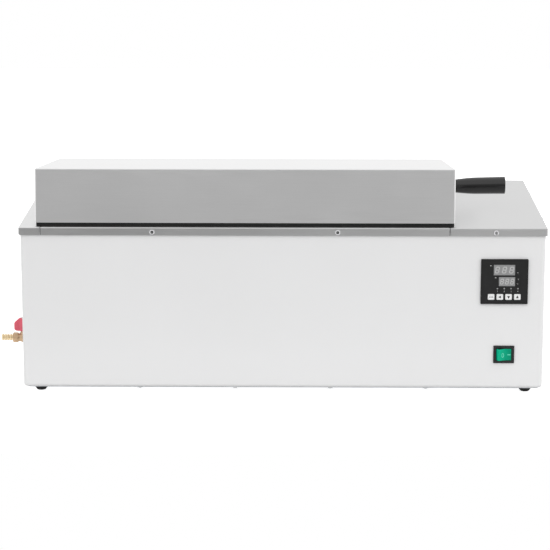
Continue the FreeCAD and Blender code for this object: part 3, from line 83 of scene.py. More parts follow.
class BathSizes(PropertyGroup):
    """Sizes of the pieces that are built here. Their places come from the frame."""

    grip_length: length("Grip length", "From the grip's collar to its end", 0.0867)
    grip_overlap: length("Grip overlap", "How far the grip's root reaches over its collar", 0.0012)
    grip_neck: length("Grip neck radius", "Radius of the grip at its collar", 0.0096)
    grip_belly: length("Grip belly radius", "Radius of the grip at the end of its swell", 0.0132)
    grip_end: length("Grip end radius", "Radius of the grip at its outer end", 0.0136)
    grip_edge: length("Grip edge", "Rounding round the grip's outer end", 0.0007)
    grip_rise: turn("Grip rise", "How far the grip points upwards", 1.0)
    grip_bow: length("Grip end bow", "How far the grip's end stands out", 0.0008)
    foot_top: length("Foot top radius", "Radius of a foot under the base plate", 0.011)
    foot_belly: length("Foot belly radius", "Radius of a foot above its rounding", 0.0102)
    foot_tip: length("Foot tip radius", "Radius of a foot where it stands", 0.0066)
    foot_swell: length("Foot swell", "Height of a foot's belly", 0.0046)
    foot_round: length("Foot rounding", "Rounding of a foot's lower edge", 0.0022)
    key_crown: length("Key dish", "Depth of the dish in each key", 0.00025)
    key_round: length("Key edge", "Rounding round the front of each key", 0.0006)
    key_flange: length("Key flange", "How much wider than its cap a key's hidden flange is", 0.0019)
    rocker_round: length("Rocker edge", "Rounding of the rocker's ends", 0.0008)
    print_lift: length("Print thickness", "How far printed marks stand out", 0.00005)
    digit_slant: turn("Digit slant", "Lean of the display digits", 11.0)
    wing_thickness: length("Wing thickness", "Thickness of the tap handle's wings", 0.0064)
    wing_round: length("Wing rounding", "Rounding along the tap handle's edges", 0.0016)
    barb_ridges: IntProperty(name="Hose ridges", description="Ridges on the hose tail", default=4, min=1)


class BathColours(PropertyGroup):
    """Colours of the finishes."""

    enamel: colour("Enamel", "Paint of the casing", (0.835, 0.835, 0.838))
    lid: colour("Lid steel", "Stainless steel of the lid", (0.90, 0.90, 0.90))
    deck: colour("Deck steel", "Stainless steel of the deck", (0.705, 0.705, 0.705))
    rubber: colour("Rubber", "Feet and seal", (0.012, 0.012, 0.012))
    grip: colour("Grip", "Black moulding of the grip", (0.0012, 0.0012, 0.0013))
    brass: colour("Brass", "Tap and hose tail", (0.95, 0.77, 0.50))
    tap: colour("Tap handle", "Plastic of the tap handle", (0.76, 0.115, 0.165))
    rocker: colour("Rocker", "Green plastic of the rocker", (0.003, 0.46, 0.26))
    panel: colour("Panel", "Black front of the controller", (0.016, 0.016, 0.0165))
    display: colour("Display", "Tinted window of a display", (0.30, 0.30, 0.303))
    keys: colour("Keys", "Plastic of the keys", (0.88, 0.88, 0.88))


# Shapes


def unit(vector):
    """The vector at length one."""
    vector = np.asarray(vector, float)
    return vector / np.linalg.norm(vector)


class Plane:
    """A flat place on the object: point(u, v, w) = origin + u across + v up + w outward."""

    def __init__(self, origin, across, up):
        self.origin = np.asarray(origin, float)
        self.across, self.up = unit(across), unit(up)
        self.outward = np.cross(self.across, self.up)

    def point(self, u, v, w=0.0):
        u, v, w = np.broadcast_arrays(np.asarray(u, float), v, w)
        parts = u[..., None] * self.across + v[..., None] * self.up + w[..., None] * self.outward
        return self.origin + parts


def circle(steps):
    """Angles evenly round a full circle."""
    return np.linspace(0, 2 * np.pi, steps, endpoint=False)


def skin(rings, loop=False):
    """Surface through closed rings of equal length.

    Point j of ring i is vertex i * n + j, and each four neighbours make a face. With loop the last
    ring joins the first. Otherwise each end is closed by a fan to the end ring's mean point.
    """
    rings = np.asarray(rings, float)
    count, around = rings.shape[:2]
    row, step = np.meshgrid(np.arange(count if loop else count - 1), np.arange(around), indexing="ij")
    after, beyond = (step + 1) % around, (row + 1) % count
    corners = (row * around + step, row * around + after, beyond * around + after, beyond * around + step)
    faces = np.stack(corners, -1).reshape(-1, 4).tolist()
    points = rings.reshape(-1, 3)
    if not loop:
        here = np.arange(around)
        for ring, order in ((0, -1), (count - 1, 1)):
            first, second = ring * around + here, ring * around + (here + 1) % around
            fan = np.stack([first, second, np.full(around, len(points))], -1)[:, ::order]
            points = np.vstack([points, rings[ring].mean(0)])
            faces += fan.tolist()
    return points, faces


def together(*surfaces):
    """Several surfaces as one list of points and one of faces."""
    points, faces, start = [], [], 0
    for some_points, some_faces in surfaces:
        points.append(some_points)
        faces += [[start + index for index in face] for face in some_faces]
        start += len(some_points)
    return np.vstack(points), faces


def softened(points, cut, steps=5, closed=False):
    """Polyline whose corners are cut back and bridged by a quadratic curve.

    With a and b the points a cut before and after a corner c, the bridge is
    (1 - t)^2 a + 2 t (1 - t) c + t^2 b for t from 0 to 1.
    """
    points = np.asarray(points, float)
    cut = np.broadcast_to(np.asarray(cut, float), len(points)).copy()
    if not closed:
        cut[[0, -1]] = 0.0
    before, after = np.roll(points, 1, 0) - points, np.roll(points, -1, 0) - points
    spans = [np.linalg.norm(run, axis=1, keepdims=True) for run in (before, after)]
    share = np.minimum(cut[:, None], 0.48 * np.minimum(*spans))
    first, last = points + before / spans[0] * share, points + after / spans[1] * share
    t = np.linspace(0, 1, steps + 1)[None, :, None]
    bridge = (1 - t) ** 2 * first[:, None] + 2 * t * (1 - t) * points[:, None] + t**2 * last[:, None]
    line = bridge.reshape(-1, 2)
    apart = np.linalg.norm(np.diff(line, axis=0, prepend=line[-1:] + 1.0), axis=1)
    return line[apart > 1e-7]


def turned(profile, origin, axis, around=64, loop=False):
    """Profile of (along, radius) pairs turned about an axis.

    point = origin + along axis + radius (cos a side + sin a other), for a round the circle.
    """
    along, radius = np.asarray(profile, float).T
    axis = unit(axis)
    side = unit(np.cross(axis, (0.0, 1.0, 0.0) if abs(axis[1]) < 0.9 else (1.0, 0.0, 0.0)))
    other = np.cross(axis, side)
    angle = circle(around)[:, None]
    ring = np.cos(angle) * side + np.sin(angle) * other
    rings = np.asarray(origin, float) + along[:, None, None] * axis + radius[:, None, None] * ring
    return skin(rings, loop)


def rounded_rectangle(width, height, corner, steps=6):
    """Closed outline of a rectangle with quarter circles at its corners, anticlockwise."""
    quarter = np.linspace(0, np.pi / 2, steps)
    reach = np.array([width / 2 - corner, height / 2 - corner])
    parts = []
    for place, (x, y) in enumerate(((1, 1), (-1, 1), (-1, -1), (1, -1))):
        angle = quarter + place * np.pi / 2
        parts.append(reach * (x, y) + corner * np.stack([np.cos(angle), np.sin(angle)], -1))
    return np.vstack(parts)


def drawn_in(outline, by):
    """Anticlockwise outline moved inwards: each point goes by that much along its inward normal."""
    tangent = np.roll(outline, -1, 0) - np.roll(outline, 1, 0)
    tangent /= np.maximum(np.linalg.norm(tangent, axis=1, keepdims=True), 1e-12)
    return outline + by * np.stack([-tangent[:, 1], tangent[:, 0]], -1)


def pressed(outline, plane, low, high, edge, dish=0.0, both=False, steps=4):
    """Outline pushed from low to high along the plane's outward side, its front edge rounded.

    Round the edge the outline is drawn in by edge (1 - cos a) while it rises by edge sin a. The
    front falls to its middle by dish (1 - s^2), where s is the share of the outline's size.
    """
    angle = np.linspace(0, np.pi / 2, steps + 1)
    inset = edge * (1 - np.cos(angle))
    rise = high - edge + edge * np.sin(angle)
    stations = list(zip(inset, rise))
    if both:
        back = [(i, low + edge - edge * math.sin(a)) for i, a in zip(inset[::-1], angle[::-1])]
        stations = back + stations
    else:
        stations = [(0.0, low)] + stations
    rings = []
    for by, level in stations:
        ring = drawn_in(outline, by)
        rings.append(plane.point(ring[:, 0], ring[:, 1], level))
    last = drawn_in(outline, edge)
    centre = last.mean(0)
    for share in (0.85, 0.6, 0.3):
        ring = centre + (last - centre) * share
        rings.append(plane.point(ring[:, 0], ring[:, 1], high - dish * (1 - share**2)))
    return skin(rings)


def plates(polygons, plane, low, high):
    """Flat plates, one for each polygon of an array (count, corners, 2), from low to high."""
    polygons = np.asarray(polygons, float)
    count, corners = polygons.shape[:2]
    bottom, top = (plane.point(polygons[..., 0], polygons[..., 1], level) for level in (low, high))
    points = np.concatenate([bottom, top], 1).reshape(-1, 3)
    here = np.arange(corners)
    after = (here + 1) % corners
    sides = np.stack([here, after, after + corners, here + corners], -1)
    start = np.arange(count) * 2 * corners
    faces = (start[:, None, None] + sides).reshape(-1, 4).tolist()
    faces += (start[:, None] + here[::-1]).tolist() + (start[:, None] + here + corners).tolist()
    return points, faces


def plates_of(groups, plane, low, high):
    """Plates of several groups of polygons as one surface."""
    return together(*[plates(group, plane, low, high) for group in groups])


def bars(strokes, width, point=0.5):
    """Six-cornered bars along strokes of an array (count, 2, 2), with tips point widths long."""
    strokes = np.asarray(strokes, float)
    a, b = strokes[:, 0], strokes[:, 1]
    run = (b - a) / np.maximum(np.linalg.norm(b - a, axis=1, keepdims=True), 1e-9)
    side = np.stack([-run[:, 1], run[:, 0]], -1) * width / 2
    tip = run * width * point
    return np.stack([a, a + tip - side, b - tip - side, b, b - tip + side, a + tip + side], 1)


def polyline(points):
    """Strokes between neighbouring points."""
    points = np.asarray(points, float)
    return np.stack([points[:-1], points[1:]], 1)


def ellipse(centre, half_width, half_height, start=0.0, end=360.0, steps=20):
    """Strokes round an ellipse, or part of one, given in degrees."""
    angle = np.radians(np.linspace(start, end, steps + 1))
    x, y = centre[0] + half_width * np.cos(angle), centre[1] + half_height * np.sin(angle)
    return polyline(np.stack([x, y], -1))


def placed(strokes, x, y, size):
    """Strokes of a sign one unit high, scaled to a size and put at a place."""
    return np.asarray(strokes) * size + (x, y)


SIGNS = {
    "1": polyline([(-0.18, 0.3), (0.05, 0.5), (0.05, -0.5)]),
    "2": polyline(
        [(-0.28, 0.3), (-0.1, 0.5), (0.14, 0.5), (0.28, 0.32), (0.26, 0.1), (-0.3, -0.5), (0.3, -0.5)]
    ),
    "3": polyline(
        [(-0.26, 0.42), (0.0, 0.5), (0.24, 0.34), (0.2, 0.1), (0.0, 0.02)]
        + [(0.24, -0.1), (0.26, -0.36), (0.0, -0.5), (-0.28, -0.42)]
    ),
    "4": polyline([(0.14, -0.5), (0.14, 0.5), (-0.3, -0.2), (0.32, -0.2)]),
    "degrees": np.vstack(
        [ellipse((-0.42, 0.36), 0.13, 0.13, steps=8), ellipse((0.18, 0.0), 0.34, 0.5, 50, 310, 10)]
    ),
    "percent": np.vstack(
        [polyline([(-0.3, -0.5), (0.3, 0.5)])]
        + [ellipse(spot, 0.14, 0.18, steps=8) for spot in ((-0.28, 0.3), (0.28, -0.3))]
    ),
}


def seven_segments(width, height, slant):
    """The seven strokes of a display digit, leaning by u + v tan(slant)."""
    w, h, gap = width / 2, height / 2, 0.012 * height
    level_strokes = [[(-w + gap, level), (w - gap, level)] for level in (h, 0.0, -h)]
    spans = ((gap, h - gap), (-h + gap, -gap))
    upright_strokes = [[(side, start), (side, end)] for side in (-w, w) for start, end in spans]
    strokes = np.array(level_strokes + upright_strokes)
    strokes[..., 0] += strokes[..., 1] * math.tan(slant)
    return strokes


def piece(name, surface, body, slot, stands_for=(), sharp=35.0, look=None):
    """Makes an object from points and faces, with its slot's finish or another look, on its body."""
    points, faces = surface
    mesh = bpy.data.meshes.new(name)
    mesh.from_pydata(np.asarray(points).tolist(), [], faces)
    build = bmesh.new()
    build.from_mesh(mesh)
    bmesh.ops.remove_doubles(build, verts=build.verts, dist=1e-7)
    bmesh.ops.dissolve_degenerate(build, edges=build.edges, dist=1e-8)
    bmesh.ops.recalc_face_normals(build, faces=build.faces)
    build.to_mesh(mesh)
    build.free()
    mesh.polygons.foreach_set("use_smooth", np.ones(len(mesh.polygons), bool))
    mesh.set_sharp_from_angle(angle=math.radians(sharp))
    made = bpy.data.objects.new(name, mesh)
    bpy.context.scene.collection.objects.link(made)
    mesh.materials.append(coat(look or slot))
    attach(made, body)
    if stands_for:
        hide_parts(*stands_for)
    return made


# Finishes


def node(tree, kind, inputs=None, **settings):
    """Adds a shader node; an input is a value or another node's socket."""
    made = tree.nodes.new(kind)
    for key, value in settings.items():
        setattr(made, key, value)
    for key, value in (inputs or {}).items():
        if isinstance(value, bpy.types.NodeSocket):
            tree.links.new(value, made.inputs[key])
        else:
            made.inputs[key].default_value = value
    return made


def noise(tree, place, scale, detail=3.0, rough=0.55, stretch=(1.0, 1.0, 1.0)):
    """Fine noise on the object's own coordinates, about 0.5 on average; stretch multiplies each axis."""
    where = node(tree, "ShaderNodeMapping", {"Vector": place, "Scale": stretch}, vector_type="POINT")
    inputs = {"Vector": where.outputs[0], "Scale": scale, "Detail": detail, "Roughness": rough}
    return node(tree, "ShaderNodeTexNoise", inputs).outputs["Fac"]


def swing(tree, source, low, high, start=0.3, end=0.7, kind="LINEAR"):
    """Source from start to end mapped to low to high."""
    inputs = {"Value": source, "From Min": start, "From Max": end, "To Min": low, "To Max": high}
    return node(tree, "ShaderNodeMapRange", inputs, interpolation_type=kind).outputs[0]


def mixed(tree, factor, first, second):
    """Two colours mixed by a factor."""
    mix = node(tree, "ShaderNodeMix", {"Factor": factor}, data_type="RGBA")
    for key, value in (("A", first), ("B", second)):
        socket = [s for s in mix.inputs if s.name == key and s.type == "RGBA"][0]
        if isinstance(value, bpy.types.NodeSocket):
            tree.links.new(value, socket)
        else:
            socket.default_value = tuple(value) + (1.0,)
    return [s for s in mix.outputs if s.type == "RGBA"][0]


CLOUD = (9.0, 0.03)
SPECKLE = (900.0, 0.03)
RELIEF = (700.0, 0.15, 0.00006)
COAT_ROUGHNESS = 0.12


def plain_material(name):
    """A new material with its tree, its shader and the object's own coordinates."""
    material = bpy.data.materials.new(name)
    material.use_nodes = True
    tree = material.node_tree
    return material, tree, tree.nodes["Principled BSDF"], node(tree, "ShaderNodeTexCoord").outputs["Object"]


def finish(name, base, roughness, metallic, cloud=CLOUD, speckle=SPECKLE, relief=RELIEF, more=None):
    """Principled finish with broad clouds, fine speckle, brushed grain and relief.

    cloud and speckle are (scale per metre, share of colour), relief is (scale, strength, depth). more may
    hold grain, which is (stretch, scale, share of colour, share of roughness), rough_swing, coat, specular
    and extra(tree, place, colour), which adds a pattern.
    """
    more = more or {}
    material, tree, shader, place = plain_material(OWN + name)
    broad = noise(tree, place, cloud[0], 4.0)
    fine = noise(tree, place, speckle[0], 2.0)
    dark = [c * (1 - cloud[1]) for c in base]
    light = [min(1, c * (1 + cloud[1])) for c in base]
    tone = mixed(tree, swing(tree, broad, 0.0, 1.0), dark, light)
    tone = scaled(tree, tone, swing(tree, fine, 1 - speckle[1], 1.0))
    rough_swing = more.get("rough_swing", 0.05)
    dull = swing(tree, broad, roughness - rough_swing, roughness + rough_swing)
    if "grain" in more:
        stretch, scale, colour_share, rough_share = more["grain"]
        height = noise(tree, place, scale, 5.0, 0.7, stretch)
        tone = scaled(tree, tone, swing(tree, height, 1 - colour_share, 1.0))
        dull = added(tree, dull, swing(tree, height, -rough_share, rough_share))
    else:
        height = noise(tree, place, relief[0])
    if "extra" in more:
        tone = more["extra"](tree, place, tone)
    bump = node(tree, "ShaderNodeBump", {"Strength": relief[1], "Distance": relief[2], "Height": height})
    tree.links.new(tone, shader.inputs["Base Color"])
    tree.links.new(dull, shader.inputs["Roughness"])
    tree.links.new(bump.outputs[0], shader.inputs["Normal"])
    shader.inputs["Metallic"].default_value = metallic
    shader.inputs["Coat Weight"].default_value = more.get("coat", 0.0)
    shader.inputs["Coat Roughness"].default_value = COAT_ROUGHNESS
    shader.inputs["Specular IOR Level"].default_value = more.get("specular", 0.5)
    return material


def scaled(tree, tone, shade):
    """Colour multiplied by a grey shade."""
    return node(tree, "ShaderNodeVectorMath", {0: tone, 1: shade}, operation="MULTIPLY").outputs[0]


def maths(tree, operation, first, second=0.0, clamp=False):
    """Result of a math node on one or two values."""
    made = node(tree, "ShaderNodeMath", {0: first, 1: second}, operation=operation, use_clamp=clamp)
    return made.outputs[0]


def added(tree, first, second):
    """Sum of two values, kept from 0 to 1."""
    return maths(tree, "ADD", first, second, True)


def largest(tree, first, second):
    """The larger of two values."""
    return maths(tree, "MAXIMUM", first, second)


def multiplied(tree, first, second):
    """Product of two values."""
    return maths(tree, "MULTIPLY", first, second)


def blended(tree, factor, first, second):
    """Two values mixed by a factor."""
    inputs = {"Factor": factor, "A": first, "B": second}
    return node(tree, "ShaderNodeMix", inputs, data_type="FLOAT").outputs[0]


def ramp(tree, source, start, end, low=0.0, high=1.0):
    """Source from start to end mapped smoothly to low to high."""
    return swing(tree, source, low, high, start, end, "SMOOTHSTEP")


ALONG_X = (0.012, 1.0, 1.0)
ALONG_Y = (1.0, 0.012, 1.0)
ALONG_Z = (1.0, 1.0, 0.012)


def spangle(tree, place, tone):
    """Galvanised crystals: cells of slightly different grey."""
    cells = node(tree, "ShaderNodeTexVoronoi", {"Vector": place, "Scale": 70.0})
    grey = node(tree, "ShaderNodeRGBToBW", {"Color": cells.outputs["Color"]}).outputs[0]
    return scaled(tree, tone, swing(tree, grey, 0.78, 1.0, 0.2, 0.8))


def fibres(tree, place, tone):
    """Glass wool: tangled light and dark threads in two directions."""
    ways = ((1.0, 0.15, 0.6), (0.15, 1.0, 0.5))
    threads = [noise(tree, place, 260.0, 6.0, 0.8, stretch) for stretch in ways]
    mean = added(tree, *[multiplied(tree, thread, 0.5) for thread in threads])
    return scaled(tree, tone, swing(tree, mean, 0.55, 1.1, 0.38, 0.62))


def copper_tracks(tree, place, tone):
    """Circuit board: lighter straight tracks under the lacquer."""
    greys = {"Color1": (0.0, 0.0, 0.0, 1.0), "Color2": (0.2, 0.2, 0.2, 1.0), "Mortar": (1.0,) * 4}
    inputs = {"Vector": place, "Scale": 130.0, "Mortar Size": 0.06, **greys}
    brick = node(tree, "ShaderNodeTexBrick", inputs)
    grey = node(tree, "ShaderNodeRGBToBW", {"Color": brick.outputs["Color"]}).outputs[0]
    return mixed(tree, multiplied(tree, grey, 0.5), tone, (0.1, 0.34, 0.12))


def heat_tint(tree, place, tone):
    """Straw and blue bands where the steel has been hot."""
    band = noise(tree, place, 22.0, 2.0)
    return mixed(tree, swing(tree, band, 0.0, 0.35), tone, (0.36, 0.27, 0.20))


def lathe_rings(tree, place, tone):
    """Fine lathe rings square to the x axis."""
    rings = noise(tree, place, 2600.0, 3.0, 0.6, (1.0, 0.02, 0.02))
    return scaled(tree, tone, swing(tree, rings, 0.86, 1.0))


def flow(tree, place, tone):
    """Faint swirls of a pressed phenolic moulding."""
    inputs = {"Vector": place, "Scale": 45.0, "Detail": 4.0, "Distortion": 1.6}
    bent = node(tree, "ShaderNodeTexNoise", inputs).outputs["Fac"]
    return mixed(tree, swing(tree, bent, 0.0, 0.25), tone, (0.004, 0.0039, 0.0038))


def distance(tree, value, centre):
    """How far a value is from a centre."""
    return maths(tree, "ABSOLUTE", maths(tree, "SUBTRACT", value, centre))


def rocker_painted_shade(tree, place, tone):
    """Painted shade on the green: lighter towards the standing-out left half and darker towards the pressed half,
    and a painted shadow on the top and bottom of the paddle, which lie within the frame.
    """
    pivot = JOINTS["rocker_tilt"]["pos_m"]
    low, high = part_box("switch_rocker")
    pin_reach = 0.0014  # the pin's end beyond the paddle
    half = (high.z - low.z) / 2 - pin_reach
    spot = node(tree, "ShaderNodeSeparateXYZ", {0: place}).outputs
    # painted shade: the green lightens to the left and darkens to the right
    across = swing(tree, spot["X"], 1.12, 0.62, pivot[0] - 0.010, pivot[0] + 0.011)
    # painted shadow of the frame on the top and bottom of the paddle
    painted_end_shadow = ramp(tree, distance(tree, spot["Z"], pivot[2]), half - 0.0007, half - 0.0001, 1.0, 0.10)
    return scaled(tree, scaled(tree, tone, across), painted_end_shadow)


def seam_lines_and_painted_light(tree, place, tone):
    """Shadow in the narrow joints between the deck's sections, and painted light: a brighter top on the narrow
    left end.
    """
    low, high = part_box("tank_rim")
    spot = node(tree, "ShaderNodeSeparateXYZ", {0: place}).outputs
    # painted light: the top of the narrow left end is made brighter
    left = ramp(tree, spot["X"], low.x, low.x - 0.002)
    top = ramp(tree, spot["Z"], high.z - 0.002, high.z - 0.0005)
    painted_light_gain = 1.17
    tone = scaled(tree, tone, swing(tree, multiplied(tree, left, top), 1.0, painted_light_gain, 0.0, 1.0))
    seam_half, shadow_end, shadow = 0.0004, 0.0011, 0.35
    for seam in (low.x, high.x):
        near = distance(tree, spot["X"], seam)
        tone = scaled(tree, tone, ramp(tree, near, seam_half, shadow_end, shadow, 1.0))
    return tone


def brushed(stretch, scale, colour_share, rough_share, **rest):
    """What rolled and brushed sheet adds to a finish."""
    return {"grain": (stretch, scale, colour_share, rough_share), "rough_swing": 0.02, **rest}


def finishes(hues):
    """The finish of each material slot, as base, roughness, metallic, cloud, speckle, relief and more."""
    sheet = (1.0, (5.0, 0.012), (600.0, 0.015))
    black = (0.016, 0.0165, 0.017)
    clear, glass = {"coat": 0.15}, {"coat": 0.3}
    dull, front, lathed = {"specular": 0.35}, {"specular": 0.3}, {"extra": lathe_rings}
    heater = {"grain": (ALONG_X, 1800.0, 0.08, 0.06), "extra": heat_tint}
    sink = {"grain": (ALONG_Z, 1600.0, 0.12, 0.08)}
    # the deck's finish, with shadow in its joints and painted light on its left end
    deck = brushed(ALONG_X, 1500.0, 0.05, 0.05, extra=seam_lines_and_painted_light)
    lid = brushed(ALONG_X, 1500.0, 0.04, 0.04)
    tank = brushed(ALONG_X, 1100.0, 0.06, 0.06)
    tray = brushed(ALONG_Y, 1300.0, 0.07, 0.06)
    hinge = brushed(ALONG_X, 1800.0, 0.06, 0.05)
    moulded = {"specular": 0.7, "extra": flow}
    # the rocker's finish, with its painted shade and painted shadow
    painted_shade_green = {"specular": 0.1, "extra": rocker_painted_shade}
    wool = {"specular": 0.1, "extra": fibres}
    rows = {
        "white_enamel": (hues.enamel, 0.42, 0, (4, 0.008), (1500, 0.012), (420, 0.12, 8e-5), clear),
        "zinc_sheet": ((0.5, 0.52, 0.54), 0.45, 1, CLOUD, SPECKLE, RELIEF, {"extra": spangle}),
        "deck_steel": (hues.deck, 0.42, *sheet, (1, 0.10, 2e-5), deck),
        "lid_steel": (hues.lid, 0.40, *sheet, (1, 0.08, 2e-5), lid),
        "tank_steel": ((0.82, 0.82, 0.82), 0.28, *sheet, (1, 0.12, 3e-5), tank),
        "tray_steel": ((0.80, 0.80, 0.80), 0.3, *sheet, (1, 0.12, 2e-5), tray),
        "heater_steel": ((0.5, 0.49, 0.47), 0.32, 1, CLOUD, SPECKLE, RELIEF, heater),
        "hinge_steel": ((0.6, 0.6, 0.6), 0.3, *sheet, (1, 0.1, 2e-5), hinge),
        "bright_screws": ((0.72, 0.72, 0.73), 0.2, 1, CLOUD, (3000, 0.08), (2600, 0.08, 3e-5)),
        "black_rubber": (hues.rubber, 0.62, 0, (60, 0.25), (1800, 0.3), (1900, 0.3, 8e-5), dull),
        "grip_moulding": (hues.grip, 0.13, 0, (30, 0.15), SPECKLE, (900, 0.06, 3e-5), moulded),
        "valve_brass": (hues.brass, 0.3, 1, (120, 0.08), (2400, 0.06), (2000, 0.1, 3e-5), lathed),
        "cast_brass": ((0.62, 0.44, 0.28), 0.38, 1, (120, 0.12), (1600, 0.12), (1300, 0.25, 6e-5)),
        "plated_ball": ((0.75, 0.75, 0.76), 0.08, 1, CLOUD, (3000, 0.03), (2400, 0.03, 1e-5)),
        "valve_red": (hues.tap, 0.34, 0, (80, 0.10), (1500, 0.05), (700, 0.12, 5e-5)),
        "panel_black": (hues.panel, 0.42, 0, (40, 0.10), (2500, 0.12), (2600, 0.18, 4e-5), front),
        "housing_black": (black, 0.46, 0, (40, 0.12), (2500, 0.15), (2200, 0.25, 5e-5), dull),
        "display_grey": (hues.display, 0.16, 0, (20, 0.05), (3000, 0.02), (1200, 0.02, 1e-5), glass),
        "key_white": (hues.keys, 0.40, 0, (60, 0.02), (2400, 0.03), (2600, 0.15, 3e-5)),
        "lamp_lens": ((0.36, 0.36, 0.36), 0.22, 0, (200, 0.12), SPECKLE, (1500, 0.05, 1e-5)),
        "rocker_green": (hues.rocker, 0.26, 0, (60, 0.08), (1600, 0.04), (900, 0.04, 3e-5), painted_shade_green),
        "board_green": ((0.02, 0.16, 0.05), 0.3, 0, (50, 0.1), SPECKLE, RELIEF, {"extra": copper_tracks}),
        "contact_metal": ((0.7, 0.66, 0.52), 0.24, 1, (200, 0.1), (3000, 0.06), RELIEF),
        "relay_moulding": ((0.03, 0.03, 0.032), 0.5, 0, (60, 0.15), (2200, 0.2), (1800, 0.3, 6e-5)),
        "terminal_moulding": ((0.68, 0.64, 0.52), 0.46, 0, (60, 0.06), (2000, 0.06), (1600, 0.2, 5e-5)),
        "sink_aluminium": ((0.62, 0.63, 0.64), 0.32, 1, CLOUD, SPECKLE, (1, 0.2, 3e-5), sink),
        "glass_wool": ((0.72, 0.60, 0.28), 0.9, 0, (18, 0.12), SPECKLE, (500, 0.7, 6e-4), wool),
    }
    return {name: finish(name, *row) for name, row in rows.items()}


PRINTS = {
    "print_white": ((0.62, 0.62, 0.62), 0.5),
    "print_dark": ((0.012, 0.012, 0.013), 0.5),
    "print_green": ((0.14, 0.78, 0.55), 0.4),
    "segment_grey": ((0.54, 0.54, 0.54), 0.35),
}


def coat(name):
    """A finish that an earlier operator made."""
    found = bpy.data.materials.get(OWN + name)
    if found is None:
        raise RuntimeError(f"the finish {name} isn't there yet: run the finishes first")
    return found


def middle(name):
    """Centre of a CAD node's box, as an array."""
    low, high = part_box(name)
    return np.array((low + high) / 2)


def sizes(context):
    return context.scene.bath_sizes


# Operators, one for each piece or group of like pieces


class BATH_OT_finishes(Operator):
    """Make the finishes and give each fixed node the one of its material slot"""

    bl_idname = "bath.finishes"
    bl_label = "Finishes"

    def execute(self, context):
        made = finishes(context.scene.bath_colours)
        for name, (base, rough) in PRINTS.items():
            finish(name, base, rough, 0, (300.0, 0.06), (4000.0, 0.08), (3000.0, 0.1, 1e-5))
        for row in frame["record"]["subparts"]:
            mesh = NODES[row["node"]].data
            mesh.materials.clear()
            mesh.materials.append(made[row["material_slot"]])
        return {"FINISHED"}


def build_grip(size):
    """The radius swells from neck to belly as sin(t pi / 2)^1.15 for t from 0 to 1, then grows evenly.

    Two fine flash lines stand out along top and bottom, by e^(-(sin a / width)^2) at an angle a.
    """
    low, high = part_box("lid_grip")
    start = np.array([low.x - size.grip_overlap, (low.y + high.y) / 2, (low.z + high.z) / 2])
    reach = size.grip_length + size.grip_overlap
    swell_end = 0.52 * reach
    bore, root_edge, root_break = 0.0045, 0.0006, 0.0002
    t = np.linspace(0, 1, 26)
    swell = (size.grip_belly - size.grip_neck) * np.sin(t * np.pi / 2) ** 1.15
    neck = np.stack([t * swell_end, size.grip_neck + swell], -1)
    edge, end = size.grip_edge, reach - size.grip_bow
    tail = [(0.8 * end, (size.grip_belly + size.grip_end) / 2), (end - edge, size.grip_end)]
    angle = np.linspace(0, np.pi / 2, 8)[1:]
    radius = size.grip_end - edge
    corner = np.stack([end - edge + edge * np.sin(angle), radius + edge * np.cos(angle)], -1)
    s = np.linspace(1, 0.08, 9)[1:]
    face = np.stack([end + size.grip_bow * (1 - s**2), radius * s], -1)
    root = [(0.0, bore), (0.0, size.grip_neck - root_edge), (root_break, size.grip_neck - root_break)]
    profile = np.vstack([root, neck[1:], tail, corner, face])
    points, faces = turned(profile, start, (1, 0, 0), 96)
    around = np.arctan2(points[:, 1] - start[1], points[:, 2] - start[2])
    outward = points - start
    outward[:, 0] = 0.0
    radial = np.linalg.norm(outward, axis=1, keepdims=True)
    flash_height, flash_width = 0.00006, 0.03
    flash = flash_height * np.exp(-((np.sin(around) / flash_width) ** 2))[:, None]
    keep = np.where(radial > 0.8 * size.grip_neck, flash, 0.0)
    points = points + outward / np.maximum(radial, 1e-9) * keep
    points[:, 2] += (points[:, 0] - start[0]) * math.tan(size.grip_rise)
    grip = piece("grip", (points, faces), "lid", "grip_moulding", ["lid_grip"])
    grip.visible_glossy = False  # the photograph's deck doesn't mirror it


class BATH_OT_grip(Operator):
    """Build the lid's moulded grip"""

    bl_idname = "bath.grip"
    bl_label = "Lid grip"

    def execute(self, context):
        build_grip(sizes(context))
        return {"FINISHED"}


def build_feet(size):
    """Each foot is a closed profile turned about its screw: flange, belly, rounded tip and pocket."""
    screw_hole, flange_end, groove_end, groove = 0.0025, 0.0022, 0.0028, 0.0006
    pocket_mouth, pocket_floor, pocket_depth = 0.0056, 0.0051, 0.0049
    for place in ("front_left", "front_right", "rear_left", "rear_right"):
        node_name = "foot_" + place
        low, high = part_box(node_name)
        centre = middle(node_name)
        top = high.z - low.z
        outer = [
            (top, screw_hole),
            (top, size.foot_top),
            (top - flange_end, size.foot_top),
            (top - groove_end, size.foot_top - groove),
            (size.foot_swell, size.foot_belly),
            (0.0, size.foot_tip),
            (0.0, pocket_mouth),
            (pocket_depth, pocket_floor),
            (pocket_depth, screw_hole),
        ]
        cuts = [0.0001, 0.0006, 0.0004, 0.0003, size.foot_round, size.foot_round, 0.0004, 0.0004, 0.0001]
        profile = softened(outer, cuts, 6, closed=True)
        surface = turned(profile, (centre[0], centre[1], low.z), (0, 0, 1), 72, loop=True)
        piece("rubber_foot_" + place, surface, "base", "black_rubber", [node_name])


class BATH_OT_feet(Operator):
    """Build the four rubber feet"""

    bl_idname = "bath.feet"
    bl_label = "Feet"

    def execute(self, context):
        build_feet(sizes(context))
        return {"FINISHED"}


def arrow_sign(degrees):
    """Triangle that points along a turn in degrees."""
    radius, corners = 0.0026, np.array([0.0, 128.0, 232.0])
    angle = np.radians(degrees + corners)
    return [np.stack([radius * np.cos(angle), radius * np.sin(angle)], -1)[None]]


def dots_sign():
    """Three dots in a row."""
    radius, pitch = 0.00075, 0.0021
    angle = circle(16)
    dot = radius * np.stack([np.cos(angle), np.sin(angle)], -1)
    return [dot[None] + (place * pitch, 0.0) for place in (-1, 0, 1)]


